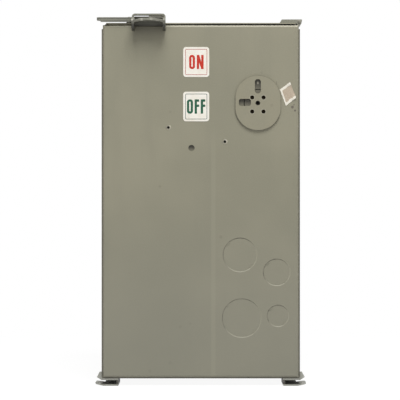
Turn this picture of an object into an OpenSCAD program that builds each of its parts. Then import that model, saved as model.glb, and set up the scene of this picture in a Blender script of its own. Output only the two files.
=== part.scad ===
// Busway plug-in switch enclosure, standing on its hanger clips with its cover on top.
// Millimetres, +Z up. The operating end faces -Y and the origin is the middle of the base.
// Depths are counted from the front panel's face, positive towards the rear.

/* [Box] */
// Width of the case across its side walls
box_w = 254; // [210:1:300]
// Depth of the case from the front panel's face to the rear panel's face
box_d = 305; // [253:1:360]
// Height of the end panels
panel_h = 451; // [440:1:490]
// Thickness of the case's sheet steel
sheet = 1.5; // [1.2:0.1:2]
// Outside radius of the folds
fold_r = 2.6; // [2.2:0.1:3.6]
// Depth of the end panels' turned flanges
flange_d = 13; // [10:0.5:13.5]
// Room between those flanges and what hangs under the cover
flange_room = 1.5; // [1:0.1:3]
// Notch at the panels' top corners
corner_notch = 4; // [3:0.5:6]
// How far the side walls stop below the panels' top edge
wall_drop = 5; // [3:0.5:8]

/* [Front panel] */
// Knockout for the main conduit: in from the right wall, height above the panel's bottom, diameter
knockout_a = [76.8, 156.7, 44]; // [20:0.1:200]
// Knockout at the right edge: in from the right wall, height, diameter
knockout_b = [29.8, 134.4, 34.9]; // [20:0.1:200]
// Largest knockout, low down: in from the right wall, height, diameter
knockout_c = [74.6, 75.8, 50.4]; // [20:0.1:200]
// Smallest knockout, low at the right edge: in from the right wall, height, diameter
knockout_d = [28.2, 78.7, 28.2]; // [20:0.1:200]
// Width of the sloping rim round a knockout
rim_w = 0.8; // [0.5:0.1:1.2]
// How far a knockout is pushed in
rim_depth = 0.5; // [0.3:0.1:0.8]
// Width of the tabs that hold a knockout
knockout_tab = 5; // [3:0.5:8]
// Reach of those tabs on each side of the rim
tab_reach = 2; // [1.5:0.1:3]
// Left pop rivet: across from the centre, height above the panel's bottom
rivet_left = [-41.5, 319.9]; // [-60:0.1:330]
// Right pop rivet: across from the centre, height above the panel's bottom
rivet_right = [30.8, 301.7]; // [20:0.1:310]
// Spare hole before the bracket's lower flange: across from the centre, height above the panel's bottom
spare_at = [-11.9, 293.6]; // [-20:0.1:310]
// Diameter of the spare hole
spare_dia = 8; // [6:0.5:10]
// Radius of a pop rivet's head
pop_head_r = 3.4; // [3:0.1:4.5]
// Height of a pop rivet's head
pop_head_h = 1.3; // [0.8:0.1:2]
// Radius of a pop rivet's shank
pop_shank_r = 2.4; // [2:0.1:2.8]
// Radius of the mandrel hole in a pop rivet's head
pop_hole_r = 1.1; // [0.8:0.1:1.5]
// Length of a pop rivet's upset tail
pop_tail = 2; // [1.5:0.1:2.2]

/* [Cover] */
// Gap between the end panels and the cover, filled by the gaskets
cover_gap = 1.2; // [0.8:0.1:2]
// How far the cover's sides stay inside the side walls
cover_inset = 1.5; // [1:0.1:2.5]
// How far the cover's edge stays inside the panels' faces
cover_edge = 0.3; // [0.1:0.1:1]
// Drop of the cover's turned side flanges
cover_flange = 15; // [10:1:22]
// Width of a gasket strip
gasket_w = 10; // [6:0.5:11]
// Distance of a gasket from the panel's face
gasket_in = 2; // [1.7:0.1:2.5]
// Distance of a gasket's ends from the cover's sides
gasket_end = 6; // [4:0.5:10]
// Room left under a gasket with the cover shut
gasket_room = 0.1; // [0.05:0.05:0.3]
// Distance of the cover's rivets from its left side, and from the striker's ends
rivet_in = 8; // [7.8:0.1:10]
// Radius of a cover rivet's head
cover_rivet_r = 5; // [4:0.5:5.5]
// Height of a cover rivet's head
cover_rivet_h = 0.8; // [0.6:0.1:0.8]
// Depth of the interlock striker along the cover
striker_len = 34; // [28:1:50]
// Drop of the interlock striker below the cover
striker_drop = 32; // [24:1:36]
// Half width of the striker's foot
striker_half = 6; // [5:0.1:6.2]
// Frame left round the striker's window
striker_frame = 8; // [6:0.5:10]
// Height of the striker's window
striker_window = 10; // [8:0.5:14]
// Corner radius of the striker's window
striker_r = 4; // [2:0.5:4]

/* [Hinges] */
// Length of a hinge
hinge_len = 36; // [30:1:44]
// Radius of a hinge pin
hinge_pin_r = 1.6; // [1.4:0.1:1.8]
// How far a pin's ends stand out of the knuckles
pin_end = 0.6; // [0.3:0.1:1.2]
// Outside radius of the hinge knuckles
knuckle_r = 3.4; // [3.2:0.1:3.6]
// Length of the middle knuckle
knuckle_mid = 11; // [9:0.5:14]
// Room beside the knuckles in the cover's notch
knuckle_room = 0.8; // [0.6:0.1:1.2]
// How far the hinge axis stands outside the wall's inner face
hinge_out = 0.9; // [0.5:0.1:1.5]
// Height of the hinge axis above the cover's top
hinge_up = 1.9; // [1.6:0.1:2.2]
// Length of the hinge leaf on the cover
leaf_len = 25.7; // [20:0.5:30]
// Rise of the leaf's flat top above the cover
leaf_rise = 5.8; // [5.4:0.1:6.4]
// Thickness of the hinge leaves
leaf_t = 2.4; // [2:0.1:2.6]
// Length over which the leaf slopes down to the cover
leaf_slope = 3.7; // [2.5:0.1:5]
// How far the leaf's top runs on past the hinge axis
leaf_over = 3.9; // [3.5:0.1:4.5]
// Height of the hinge bracket inside the wall
bracket_h = 30; // [24:1:40]
// Lap of a bracket's tongue on its leaf
tongue_lap = 2; // [1:0.5:4]

/* [Latch] */
// Reach of the latch's hood in front of the panel
hood_reach = 22; // [16:1:26]
// Width of the hood
hood_w = 43; // [38:1:50]
// Middle of the hood, in from the left wall
hood_at = 60.5; // [55:0.5:66]
// Gap between the hood and the panel
hood_gap = 1.5; // [1:0.1:2]
// Drop of the hood's cheeks below the lever's underside
hood_drop = 14.2; // [10:0.1:16]
// Corner radius of the cheeks
cheek_r = 8; // [4:0.5:9]
// Drop of the hood's back wall below the lever's underside
skirt_drop = 8; // [6:0.1:9]
// Rise of the hood's arched visor
visor_rise = 3.5; // [2:0.1:4]
// Drop of the visor's middle below the lever's top
visor_drop = 2.3; // [1.6:0.1:2.8]
// Height of the hook-stick eye above the lever's top
eye_h = 3.8; // [3.4:0.1:8]
// Width of the eye's band
eye_w = 10; // [7:0.5:12]
// Thickness of the eye's band
eye_t = 1.9; // [1.6:0.1:2.2]
// Outside radius of the eye's bends
eye_r = 4; // [3:0.5:5]
// Distance of the eye in front of the panel
eye_at = 2; // [1.5:0.1:4]
// Thickness of the latch's sheet
lever_t = 3.2; // [2.6:0.1:3.6]
// Width of the lever's strap
lever_w = 18; // [14:1:20]
// Corner radius of the strap
strap_r = 5; // [3:0.5:7]
// Lap of the strap and its tongue on the hood
strap_lap = 3.6; // [3.6:0.1:12]
// How far the strap's end stands outside the left wall
lever_proud = 6.2; // [3:0.2:7]
// Drop of the strap's turned-down front rim below its underside
rim_drop = 2.7; // [2:0.1:2.7]
// Height of the slit that the stop plate leaves in the eye
slit_h = 1.2; // [0.8:0.1:2]
// Distance from the post to the hood's left side
post_to_hood = 3.2; // [3.2:0.1:6]
// Depth of the post behind the panel's face
post_d = 6; // [5:0.5:8]
// Radius of the post's bearing
post_r = 2.8; // [2.4:0.1:3.4]
// Radius of the post's shoulder and head
post_head_r = 4.2; // [3.8:0.1:4.4]
// Height of the post's head
post_head_h = 1; // [0.8:0.1:2]
// Height of the post's shoulder above the cover
post_shoulder = 3.5; // [3.4:0.1:5]

/* [Hanger clips] */
// Height of a clip, and so of the box above what it stands on
clip_h = 9.5; // [9.5:0.1:14]
// Thickness of a clip's steel
clip_t = 2.2; // [1.8:0.1:2.4]
// Length of a clip along the duct's edge
clip_len = 60; // [40:1:80]
// How far a clip stays behind the panel's face
clip_in = 1; // [0.5:0.1:3]
// Distance from a clip's web to the case's side wall
clip_inset = 21.3; // [16:0.1:26]
// Reach of a clip's lower lip outside the wall
lip_reach = 8.5; // [5:0.5:14]
// Length of the turned-up tongue of a lower lip
lip_len = 11.5; // [8:0.5:14]
// Width of that tongue along the duct's edge
lip_w = 36; // [24:1:44]
// Corner radius of that tongue
lip_r = 11; // [6:0.5:11.5]
// Rise of the turned-up tongue
lip_rise = 1.9; // [1:0.1:3]
// Reach of a clip's guide ear outside the wall
ear_reach = 6.2; // [4:0.2:7]
// Rise of a clip's guide ear above the case's bottom
ear_rise = 8.7; // [6:0.1:12]
// Height of the ear's tip above the case's bottom
ear_tip = 1.8; // [1:0.1:3]
// Width of the ear's top outside the wall
ear_top = 2.5; // [1.5:0.1:4]

/* [Operator] */
// Distance from the operating shaft to the right side wall's outside
hub_from_right = 54; // [50:0.5:60]
// Distance from the operating shaft to the panels' top edge
hub_from_top = 100; // [92:1:110]
// Angle from OFF to ON
throw_deg = 37; // [30:1:40]
// Half width of the operating disc
disc_r = 29; // [28:0.5:32]
// How much longer than wide the disc is, above and below the shaft
disc_long = 6; // [4:0.5:8]
// Thickness of the operating disc
disc_t = 1.6; // [1.2:0.1:2.5]
// Gap between the disc and the panel
disc_gap = 0.6; // [0.4:0.1:1]
// Width of the disc's upper slot
slot_v_w = 7.7; // [7.2:0.1:9]
// Length of the disc's upper slot
slot_v_len = 18.2; // [12:0.1:18.5]
// Distance of the upper slot's middle from the shaft
slot_v_at = 21.5; // [21:0.1:22]
// Corner radius of the upper slot
slot_v_r = 3.5; // [1:0.1:3.5]
// Width of the disc's side slot
slot_h_w = 9; // [6:0.1:10]
// Length of the disc's side slot
slot_h_len = 15.4; // [10:0.1:16]
// Distance of the side slot's middle from the shaft
slot_h_at = 16.6; // [16.4:0.1:18]
// Height of the side slot's middle above the shaft
slot_h_up = 0.9; // [0:0.1:1.5]
// Corner radius of the side slot
slot_h_r = 2.8; // [1:0.1:3]
// Half spacing of the four handle holes, across and up
handle_half = [7.3, 9]; // [7:0.1:9.5]
// Drop of those holes' middle below the shaft
handle_drop = 1.8; // [1:0.1:2]
// Diameter of the four handle holes
handle_hole_dia = 5.2; // [4:0.1:5.5]
// Diameter of the disc's centre hole
centre_hole_dia = 6; // [5:0.1:7]
// Radius of the flange that carries the disc
hub_r = 17; // [16.6:0.1:18]
// Thickness of that flange
hub_t = 4; // [3:0.1:5]
// Room round the flange in the panel
hub_room = 1; // [0.5:0.1:2]
// Radius of the operating shaft
shaft_r = 8; // [7.9:0.1:8.5]
// Side of the shaft's square length
shaft_square = 11; // [9:0.1:11]
// Length of the shaft's round end behind the bracket
shaft_round = 9; // [8:0.5:14]
// Radius of the tapped hole in the shaft's end
tap_r = 2.1; // [1.6:0.1:2.5]
// Depth of that hole behind the panel's face
tap_d = 16; // [10:1:18]
// Radius of the shaft's rear journal
journal_r = 5.4; // [4.5:0.1:5.5]
// Length of the shaft's rear journal
journal_len = 22; // [18:1:26]
// Room behind the journal
journal_room = 5; // [3:0.5:8]
// Depth of the bearing bracket behind the panel's face
bracket_d = 7; // [6.5:0.5:10]
// Thickness of the bearing bracket
bracket_t = 2.5; // [2:0.1:3]
// Half width and half height of the bracket's feet at the rivets
foot_half = [11, 9.5]; // [8:0.5:14]
// Margin of the bracket round the panel's opening
bracket_edge = 18; // [14:0.5:19]
// Margin of the bracket's lower flange round the spare hole
flange_edge = 6; // [3:0.5:8]
// Rise of the bracket above the shaft
bracket_rise = 40; // [34:1:44]
// Corner radius of the bracket
bracket_r = 6; // [3:0.5:8]
// Length of the bracket's right foot
foot_len = 12; // [8:0.5:13]
// Half height of the bracket's right foot
foot_rise = 20; // [14:1:30]
// Wall of the shaft's bush
bush_wall = 3; // [2:0.1:4]
// Width of the bush's flange
bush_rim = 3; // [2:0.1:4]
// Thickness of the bush's flange
bush_rim_t = 1.5; // [1:0.1:2]
// Length of the bush behind the bracket
bush_tail = 4; // [3:0.5:6]
// Width of the retaining ring
ring_w = 3.5; // [2.5:0.1:4]
// Thickness of the retaining ring
ring_t = 1.6; // [1:0.1:2]
// Radius of the rear bearing's cup
cup_r = 12; // [9:0.5:14]
// Length of the cup's overlap on the journal
cup_lap = 18; // [14:1:21]
// Half width and half height of the rear bearing's plate
plate_half = [24, 14]; // [12:1:30]
// Thickness of the rear bearing's plate
plate_t = 5; // [3:0.5:7]
// Corner radius of the rear bearing's plate
plate_r = 6; // [3:0.5:10]

/* [Switch] */
// Depth of the first pole behind the panel's face
pole_first = 105; // [100:1:110]
// Room between the last pole and the rear panel's face
pole_room = 70; // [66:1:76]
// Thickness of a blade
blade_t = 3; // [2:0.1:4]
// Width of a blade
blade_w = 18; // [14:0.5:20]
// Corner radius of a blade's end
blade_r = 4; // [2:0.5:6]
// Reach of a blade from the shaft
blade_reach = 84; // [80:1:88]
// Radius of a blade's hub
blade_hub_r = 25; // [23:0.5:27]
// Side of the rotor's square bar
rotor_side = 22; // [18:0.5:23]
// Length of the rotor in front of the first pole
rotor_front = 47; // [40:1:54]
// Length of the rotor behind the last pole
rotor_back = 28; // [24:1:32]
// Thickness of the contact leaves
contact_t = 2; // [1.5:0.1:2.5]
// Thickness of the insulating base and barrier
base_t = 12; // [10:0.5:14]
// Height of the moulded base's block above the case's bottom
base_h = 50; // [44:1:60]
// Length of the bases beyond the outer poles
base_over = 40; // [30:1:44]
// Room between the moulded base and the left wall
base_room = 13.5; // [8:0.5:20]
// Rise of the barrier above the shaft
barrier_rise = 78; // [70:1:84]
// Room between a blade's end and the barrier
barrier_room = 11; // [8:0.5:14]
// Thickness of the ribs between the poles
rib_t = 4; // [3:0.5:6]
// Reach of the ribs from the barrier
rib_reach = 32; // [24:1:36]
// Drop of the ribs below the shaft
rib_drop = 27; // [20:1:30]
// Rise of the ribs above the shaft
rib_rise = 38; // [30:1:44]
// Width of a busbar that the stab jaws grip
busbar_t = 6.4; // [5:0.1:7]
// Room between a busbar and its jaw's leaves
busbar_room = 0.2; // [0.1:0.05:0.4]
// Half width and half depth of a stab's slot
slot_half = [8, 20]; // [6:0.5:24]
// Distance from the first stab to the moulded base's end
stab_end = 17; // [12:0.5:20]
// Distance from the last stab to the barrier
stab_in = 11; // [10:0.5:16]
// How far a jaw's leaves end above the case's bottom
stab_lift = 6; // [4:0.5:12]
// Thickness of a line bar
bar_t = 3; // [2:0.1:4]
// Half width of a line bar
bar_half = 12.5; // [10:0.5:14]
// Rise of a line bar above its bolt
bar_rise = 14; // [10:0.5:18]
// Drop of the jaws' bolts below the shaft
bolt_drop = 24; // [22:0.5:28]
// Radius of a jaw's bolt
bolt_r = 3; // [2.4:0.1:4]
// Radius of a bolt's hexagon head across its corners
bolt_head_r = 5.5; // [5:0.1:7]
// Height of a bolt's head
bolt_head_h = 4; // [3:0.1:5]
// Length of a bolt on the barrier's line side
bolt_tail = 6; // [4:0.5:9]
// Half width of a line jaw
jaw_half = 10; // [8:0.5:12]
// Reach of a line jaw from the barrier
jaw_reach = 34; // [28:1:36]
// Drop of a line jaw's leaves below the shaft
jaw_drop = 12; // [10:0.5:14]
// Rise of a line jaw above the shaft
jaw_rise = 14; // [11:0.5:15]
// Corner radius of a line jaw's leaves
jaw_r = 5; // [3:0.5:8]

/* [Fuses] */
// Radius of a fuse's end caps
fuse_r = 13.5; // [12:0.5:14]
// Length of a fuse
fuse_len = 138; // [125:1:145]
// Length of a fuse's end caps
cap_len = 20; // [18:0.5:26]
// How far a fuse's tube is slimmer than its caps
tube_step = 0.9; // [0.4:0.1:1.5]
// Drop of the fuses below the shaft
fuse_drop = 63; // [56:1:70]
// Thickness of the copper straps and clips
strap_t = 2.5; // [2:0.1:3]
// Half width of the copper straps
strap_half = 11; // [9:0.5:12]
// Wall of a fuse clip
clip_wall = 1.5; // [1:0.1:2]
// Height of a fuse clip's ring
grip_h = 14; // [10:0.5:15]
// Distance of a fuse clip's ring from the fuse's end
grip_in = 4; // [2:0.5:5]
// Half width of a fuse clip's neck
neck_half = 5; // [4:0.5:8]
// Mouth of a fuse clip's ring, in front of the fuse's middle
mouth_x = 8; // [6:0.5:10]
// Length of a fuse clip's tongue beyond the fuse's end
tongue_out = 14; // [12:0.5:16]
// Length of a fuse clip's tongue along the fuse
tongue_in = 20; // [18:0.5:24]
// Distance of a clip's screw from the fuse's end
screw_out = 7; // [6:0.5:9]
// Radius of a clip's screw
screw_r = 2.4; // [2:0.1:3]
// Radius of a clip screw's head
screw_head_r = 4.4; // [3.8:0.1:5]
// Height of a clip screw's head
screw_head_h = 2.4; // [1.6:0.1:3]
// Depth of a clip's screw in the board
screw_grip = 7; // [5:0.5:9]
// Room behind a clip's screw in the board
screw_room = 1; // [0.5:0.1:2]
// Rise of a blade's contact strap above the shaft
contact_rise = 26; // [22:1:34]
// Half height of the contact's arms
arm_half = 18; // [14:0.5:20]
// Rim of the contact's leaves outside a blade's hub
leaf_rim = 1; // [0.5:0.1:2]
// Room round the rotor in the contact's leaves
rotor_room = 1.5; // [1:0.1:3]
// Lap of a load bar on the lower fuse clip
bar_lap = 22; // [20:0.5:26]
// Distance from a fuse's lower end to its load lug
lug_drop = 19; // [16:0.5:22]
// Height of a load lug
lug_h = 34; // [28:1:38]
// Thickness of a load lug
lug_t = 22.5; // [20:0.5:26]
// Radius of a load lug's wire hole
lug_wire_r = 6; // [4:0.5:7]
// Distance of the wire hole from a lug's back
wire_in = 11.5; // [10:0.5:13]
// Metal left above a lug's wire hole
wire_stop = 8; // [5:0.5:10]
// Height of a lug's screw above its lower end
lug_screw_up = 13; // [10:0.5:16]
// Radius of a lug's screw
lug_screw_r = 4; // [3:0.1:4.5]
// How far a lug's screw stands out
lug_screw_out = 5.5; // [3:0.5:8]
// Margin of the load board below the lugs
board_under = 12; // [8:1:16]
// Rise of the load board above the shaft
board_rise = 63; // [50:1:70]
// How far a load bar reaches below its lug
bar_under = 4; // [2:0.5:6]

/* [Ground lug] */
// Distance of the ground lug from the right wall
ground_from_right = 80; // [70:1:90]
// Depth of the ground lug behind the panel's face
ground_d = 46; // [36:1:60]
// Half width and half length of the ground lug
ground_half = [7, 10]; // [5:0.5:14]
// Height of the ground lug
ground_h = 14; // [12:0.5:18]
// Radius of the ground lug's wire hole
ground_wire_r = 4; // [3:0.1:4.5]
// Radius of the ground lug's screw
ground_screw_r = 3; // [2:0.1:3.5]
// Depth of the ground lug's screw in its hole
ground_screw_in = 2.5; // [1:0.1:2.8]
// How far the ground lug's screw stands out
ground_screw_out = 4; // [2:0.5:6]

/* [Clearances] */
// Radial room of a pin or shaft that turns
run_gap = 0.05; // [0.02:0.01:0.1]
// Radial room of a pin or bush that is fixed
fix_gap = 0.02; // [0.01:0.01:0.05]
// Room between flat faces that move past each other
slide_gap = 0.35; // [0.3:0.05:0.5]
// Room round fastened and clipped pieces
seat_gap = 0.1; // [0.05:0.05:0.15]

/* [Hidden] */
$fn = 64;
cut = 1;
poles = [0, 1, 2];
sides = [-1, 1];
half_w = box_w / 2;
inner_half = half_w - sheet;
panel_z0 = clip_h + sheet;
panel_top = panel_z0 + panel_h;
wall_top = panel_top - wall_drop;
cover_z0 = panel_top + cover_gap;
cover_z1 = cover_z0 + sheet;
cover_half = inner_half - cover_inset;
flange_start = flange_d + flange_room;
front_y = (hood_reach - box_d) / 2;
knockouts = [knockout_a, knockout_b, knockout_c, knockout_d];
pop_rivets = [rivet_left, rivet_right];
rivet_x = -cover_half + rivet_in;
rivet_depths = [flange_start + rivet_in, flange_start + striker_len - rivet_in];
striker_x1 = rivet_x + striker_half;
striker_end = flange_start + striker_len;
window_z0 = cover_z0 - striker_drop + striker_frame;
hub_x = half_w - hub_from_right;
hub_z = panel_top - hub_from_top;
hinge_x = inner_half + hinge_out;
hinge_z = cover_z1 + hinge_up;
leaf_x0 = hinge_x - leaf_len;
leaf_top = cover_z1 + leaf_rise;
hinge_notch_x = hinge_x - knuckle_r - knuckle_room;
hinge_starts = [flange_start, box_d - flange_start - hinge_len];
lever_z0 = cover_z1 + post_shoulder + slide_gap;
lever_z1 = lever_z0 + lever_t;
hood_x = hood_at - half_w;
hood_x0 = hood_x - hood_w / 2;
hood_x1 = hood_x + hood_w / 2;
arch_r = (hood_w * hood_w / 4 + visor_rise * visor_rise) / (2 * visor_rise);
arch_z = lever_z1 - visor_drop - arch_r;
post_x = hood_x0 - post_to_hood;
clip_web_x = half_w - clip_inset;
lip_tip_x = half_w + lip_reach;
lip_x = lip_tip_x - lip_len;
bracket_back = bracket_d + bracket_t;
bush_r = shaft_r + bush_wall;
bush_end = bracket_back + bush_tail;
journal_d1 = box_d - sheet - journal_room;
journal_d0 = journal_d1 - journal_len;
pole_pitch = (box_d - pole_first - pole_room) / 2;
rotor_d0 = pole_first - rotor_front;
rotor_d1 = pole_first + 2 * pole_pitch + rotor_back;
leaf_in = blade_t / 2 + slide_gap;
leaf_mid = leaf_in + contact_t / 2;
barrier_x1 = hub_x - blade_reach - barrier_room;
barrier_x0 = barrier_x1 - base_t;
block_x0 = -inner_half + base_room;
block_top = panel_z0 + base_h;
base_d0 = pole_first - base_over;
base_d1 = pole_first + 2 * pole_pitch + base_over;
stab_pitch = (barrier_x0 - stab_in - block_x0 - stab_end) / 2;
bolt_z = hub_z - bolt_drop;
load_x = inner_half - base_t;
web_x = load_x - strap_t;
clip_x = web_x - strap_t;
clip_ring_r = fuse_r + seat_gap + clip_wall;
fuse_x = clip_x - clip_ring_r;
fuse_z1 = hub_z - fuse_drop;
fuse_z0 = fuse_z1 - fuse_len;
screw_heights = [fuse_z1 + screw_out, fuse_z0 - screw_out];
lug_z1 = fuse_z0 - lug_drop;
lug_z0 = lug_z1 - lug_h;
lug_x0 = web_x - lug_t;
wire_x = web_x - wire_in;
lug_screw_z = lug_z0 + lug_screw_up;
ground_x = half_w - ground_from_right;
ground_top = panel_z0 + ground_h;
ground_mid = panel_z0 + ground_h / 2;
paint = [0.57, 0.55, 0.47];
zinc = [0.66, 0.66, 0.63];
copper = [0.72, 0.45, 0.28];
phenolic = [0.16, 0.13, 0.11];
lug_metal = [0.75, 0.76, 0.77];

function pole_d(p) = pole_first + p * pole_pitch;
function stab_x(p) = block_x0 + stab_end + p * stab_pitch;

// Extrudes an outline drawn across and up, between two depths
module along_y(d0, d1) {
    translate([0, front_y + d1, 0]) rotate([90, 0, 0]) linear_extrude(d1 - d0) children();
}

// Extrudes an outline drawn in depth and up, between two places across
module along_x(x0, x1) {
    translate([x0, 0, 0]) rotate([90, 0, 90]) linear_extrude(x1 - x0) translate([front_y, 0]) children();
}

// Extrudes an outline drawn across and in depth, between two heights
module along_z(z0, z1) {
    translate([0, front_y, z0]) linear_extrude(z1 - z0) children();
}

// Rectangle between two corners
module pane(a0, b0, a1, b1) {
    translate([a0, b0]) square([a1 - a0, b1 - b0]);
}

// Rectangle between two corners with round corners
module round_pane(a0, b0, a1, b1, r) {
    pane(a0 + r, b0, a1 - r, b1);
    pane(a0, b0 + r, a1, b1 - r);
    for (a = [a0 + r, a1 - r], b = [b0 + r, b1 - r]) translate([a, b]) circle(r);
}

// Block between two places across, in depth and in height
module block(x0, x1, d0, d1, z0, z1) {
    translate([x0, front_y + d0, z0]) cube([x1 - x0, d1 - d0, z1 - z0]);
}

// Block of one pole, from its half width in depth
module pole_block(p, half, x0, x1, z0, z1) {
    block(x0, x1, pole_d(p) - half, pole_d(p) + half, z0, z1);
}

module rod_y(x, z, r, d0, d1) {
    translate([x, front_y + d0, z]) rotate([-90, 0, 0]) cylinder(r = r, h = d1 - d0);
}

module rod_x(d, z, r, x0, x1) {
    translate([x0, front_y + d, z]) rotate([0, 90, 0]) cylinder(r = r, h = x1 - x0);
}

module rod_z(x, d, r, z0, z1) {
    translate([x, front_y + d, z0]) cylinder(r = r, h = z1 - z0);
}

// Turns a piece end for end, about the middle of the case's depth
module rear_twin() {
    translate([0, 2 * front_y + box_d, 0]) mirror([0, 1, 0]) children();
}

module case_wrapper() color(paint) difference() {
    along_y(cover_edge + sheet, box_d - cover_edge - sheet) difference() {
        union() {
            pane(-half_w, clip_h + sheet, half_w, wall_top);
            pane(-inner_half, clip_h, inner_half, wall_top);
            for (s = sides) translate([s * inner_half, clip_h + sheet]) circle(sheet);
        }
        pane(-inner_half, panel_z0, inner_half, wall_top + cut);
    }
    for (p = poles) stab_slot(p, clip_h - cut, panel_z0 + cut);
}

// Opening for one busbar tab, through the case's bottom and the moulded base
module stab_slot(p, z0, z1) {
    pole_block(p, slot_half[1], stab_x(p) - slot_half[0], stab_x(p) + slot_half[0], z0, z1);
}

// Plan of an end panel: a face with round folds and two side flanges
module pan_plan(inset, depth) {
    r = fold_r - inset;
    half = inner_half - inset;
    pane(-half + r, inset, half - r, depth);
    pane(-half, inset + r, half, depth);
    for (s = sides) translate([s * (half - r), inset + r]) circle(r);
}

// Side of an end panel: a face with round folds and flanges at its top and bottom
module pan_side(inset, depth) {
    r = fold_r - inset;
    z0 = panel_z0 + inset;
    z1 = panel_top - inset;
    pane(inset + r, z0, depth, z1);
    pane(inset, z0 + r, depth, z1 - r);
    for (z = [z0 + r, z1 - r]) translate([inset + r, z]) circle(r);
}

module pan_body(inset, depth) {
    intersection() {
        along_z(panel_z0 + inset, panel_top - inset) pan_plan(inset, depth);
        along_x(-inner_half + inset, inner_half - inset) pan_side(inset, depth);
    }
}

// Folded pan that closes one end of the case, with its top corners notched
module end_pan() difference() {
    pan_body(0, flange_d);
    pan_body(sheet, flange_d + cut);
    for (x = [-inner_half, inner_half - corner_notch])
        along_x(x, x + corner_notch)
            pane(fold_r, panel_top - corner_notch, flange_d + cut, panel_top + cut);
}

// Shallow recess of one knockout: a sloping rim that stops at two tabs
module knockout(k) translate([half_w - k[0], front_y, panel_z0 + k[1]]) rotate([-90, 0, 0]) difference() {
    union() {
        translate([0, 0, -cut]) cylinder(d = k[2], h = cut);
        cylinder(d1 = k[2], d2 = k[2] - 2 * rim_w, h = rim_depth);
    }
    for (s = sides) rotate(45) translate([s * k[2] / 2, 0, 0])
        cube([2 * tab_reach, knockout_tab, 4 * cut], center = true);
}

module front_panel() color(paint) difference() {
    end_pan();
    rod_y(hub_x, hub_z, hub_r + hub_room, -cut, sheet + cut);
    rod_y(spare_at[0], panel_z0 + spare_at[1], spare_dia / 2, -cut, sheet + cut);
    for (v = pop_rivets) rod_y(v[0], panel_z0 + v[1], pop_shank_r + seat_gap, -cut, sheet + cut);
    for (k = knockouts) knockout(k);
}

module rear_panel() color(paint) rear_twin() end_pan();

// Section of the cover between its hinged and its latched side
module cover_section() difference() {
    union() {
        pane(-cover_half, cover_z1 - cover_flange, cover_half, cover_z1 - fold_r);
        pane(-cover_half + fold_r, cover_z1 - cover_flange, cover_half - fold_r, cover_z1);
        for (s = sides) translate([s * (cover_half - fold_r), cover_z1 - fold_r]) circle(fold_r);
    }
    pane(-cover_half + sheet, cover_z1 - cover_flange - cut, cover_half - sheet, cover_z0);
}

module cover() color(paint) difference() {
    union() {
        along_z(cover_z0, cover_z1)
            round_pane(-cover_half + fold_r, cover_edge, cover_half - fold_r, box_d - cover_edge, fold_r);
        along_y(flange_start, box_d - flange_start) cover_section();
    }
    for (d = hinge_starts)
        along_y(d - cut, d + hinge_len + cut)
            pane(hinge_notch_x, cover_z1 - cover_flange - cut, half_w, cover_z1 + cut);
    for (d = rivet_depths) rod_z(rivet_x, d, pop_shank_r + seat_gap, cover_z0 - cut, cover_z1 + cut);
}

// Strips that seal the cover on the end panels' top flanges
module cover_gaskets() color([0.1, 0.1, 0.1]) for (d = [gasket_in, box_d - gasket_in - gasket_w])
    along_y(d, d + gasket_w)
        pane(-cover_half + gasket_end, panel_top + gasket_room, cover_half - gasket_end, cover_z0);

// Angle under the cover that the switch's interlock catches
module interlock_striker() color(zinc) difference() {
    along_y(flange_start, striker_end) {
        pane(rivet_x - striker_half, cover_z0 - sheet, striker_x1, cover_z0);
        pane(striker_x1 - sheet, cover_z0 - striker_drop, striker_x1, cover_z0);
    }
    for (d = rivet_depths) rod_z(rivet_x, d, pop_shank_r + seat_gap, cover_z0 - sheet - cut, cover_z0 + cut);
    along_x(striker_x1 - sheet - cut, striker_x1 + cut)
        round_pane(flange_start + striker_frame, window_z0, striker_end - striker_frame,
            window_z0 + striker_window, striker_r);
}

// Domed head on a flat seat, from its radius and height
module dome(r, h) {
    ball = (r * r + h * h) / (2 * h);
    intersection() {
        translate([0, 0, h - ball]) sphere(ball);
        cylinder(r = r + cut, h = h + cut);
    }
}

module cover_rivets() color(zinc) for (d = rivet_depths) {
    translate([rivet_x, front_y + d, cover_z1]) dome(cover_rivet_r, cover_rivet_h);
    rod_z(rivet_x, d, pop_shank_r, cover_z0 - sheet, cover_z1);
    rod_z(rivet_x, d, pop_head_r, cover_z0 - sheet - pop_head_h, cover_z0 - sheet);
}

// Depths at which the middle knuckle starts and ends
function mid_start(d) = d + (hinge_len - knuckle_mid) / 2;
function mid_end(d) = mid_start(d) + knuckle_mid;

// Section of the leaf on the cover: flat over the knuckles, sloping down to its toe
module leaf_section() {
    toe = leaf_t * sqrt(1 + pow(leaf_slope / leaf_rise, 2));
    polygon([
        [leaf_x0, cover_z1],
        [leaf_x0 + leaf_slope, leaf_top],
        [hinge_x + leaf_over, leaf_top],
        [hinge_x + leaf_over, leaf_top - leaf_t],
        [leaf_x0 + toe + leaf_slope * (1 - leaf_t / leaf_rise), leaf_top - leaf_t],
        [leaf_x0 + toe, cover_z1]
    ]);
}

// Turned-down end of a leaf, which closes its hollow side down to the cover
module leaf_end() polygon([
    [leaf_x0, cover_z1],
    [leaf_x0 + leaf_slope, leaf_top],
    [hinge_x, leaf_top],
    [hinge_x, hinge_z],
    [hinge_notch_x, cover_z1]
]);

// Leaf on the cover, with two knuckles that run on the pin
module hinge_leaf(d) color(zinc) difference() {
    union() {
        along_y(d, d + hinge_len) leaf_section();
        for (e = [d, d + hinge_len - leaf_t]) along_y(e, e + leaf_t) leaf_end();
        rod_y(hinge_x, hinge_z, knuckle_r, d, d + hinge_len);
    }
    rod_y(hinge_x, hinge_z, hinge_pin_r + run_gap, d - cut, d + hinge_len + cut);
    block(hinge_notch_x, hinge_x + 2 * knuckle_r, mid_start(d) - slide_gap, mid_end(d) + slide_gap,
        hinge_z - 2 * knuckle_r, hinge_z + 2 * knuckle_r);
}

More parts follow.
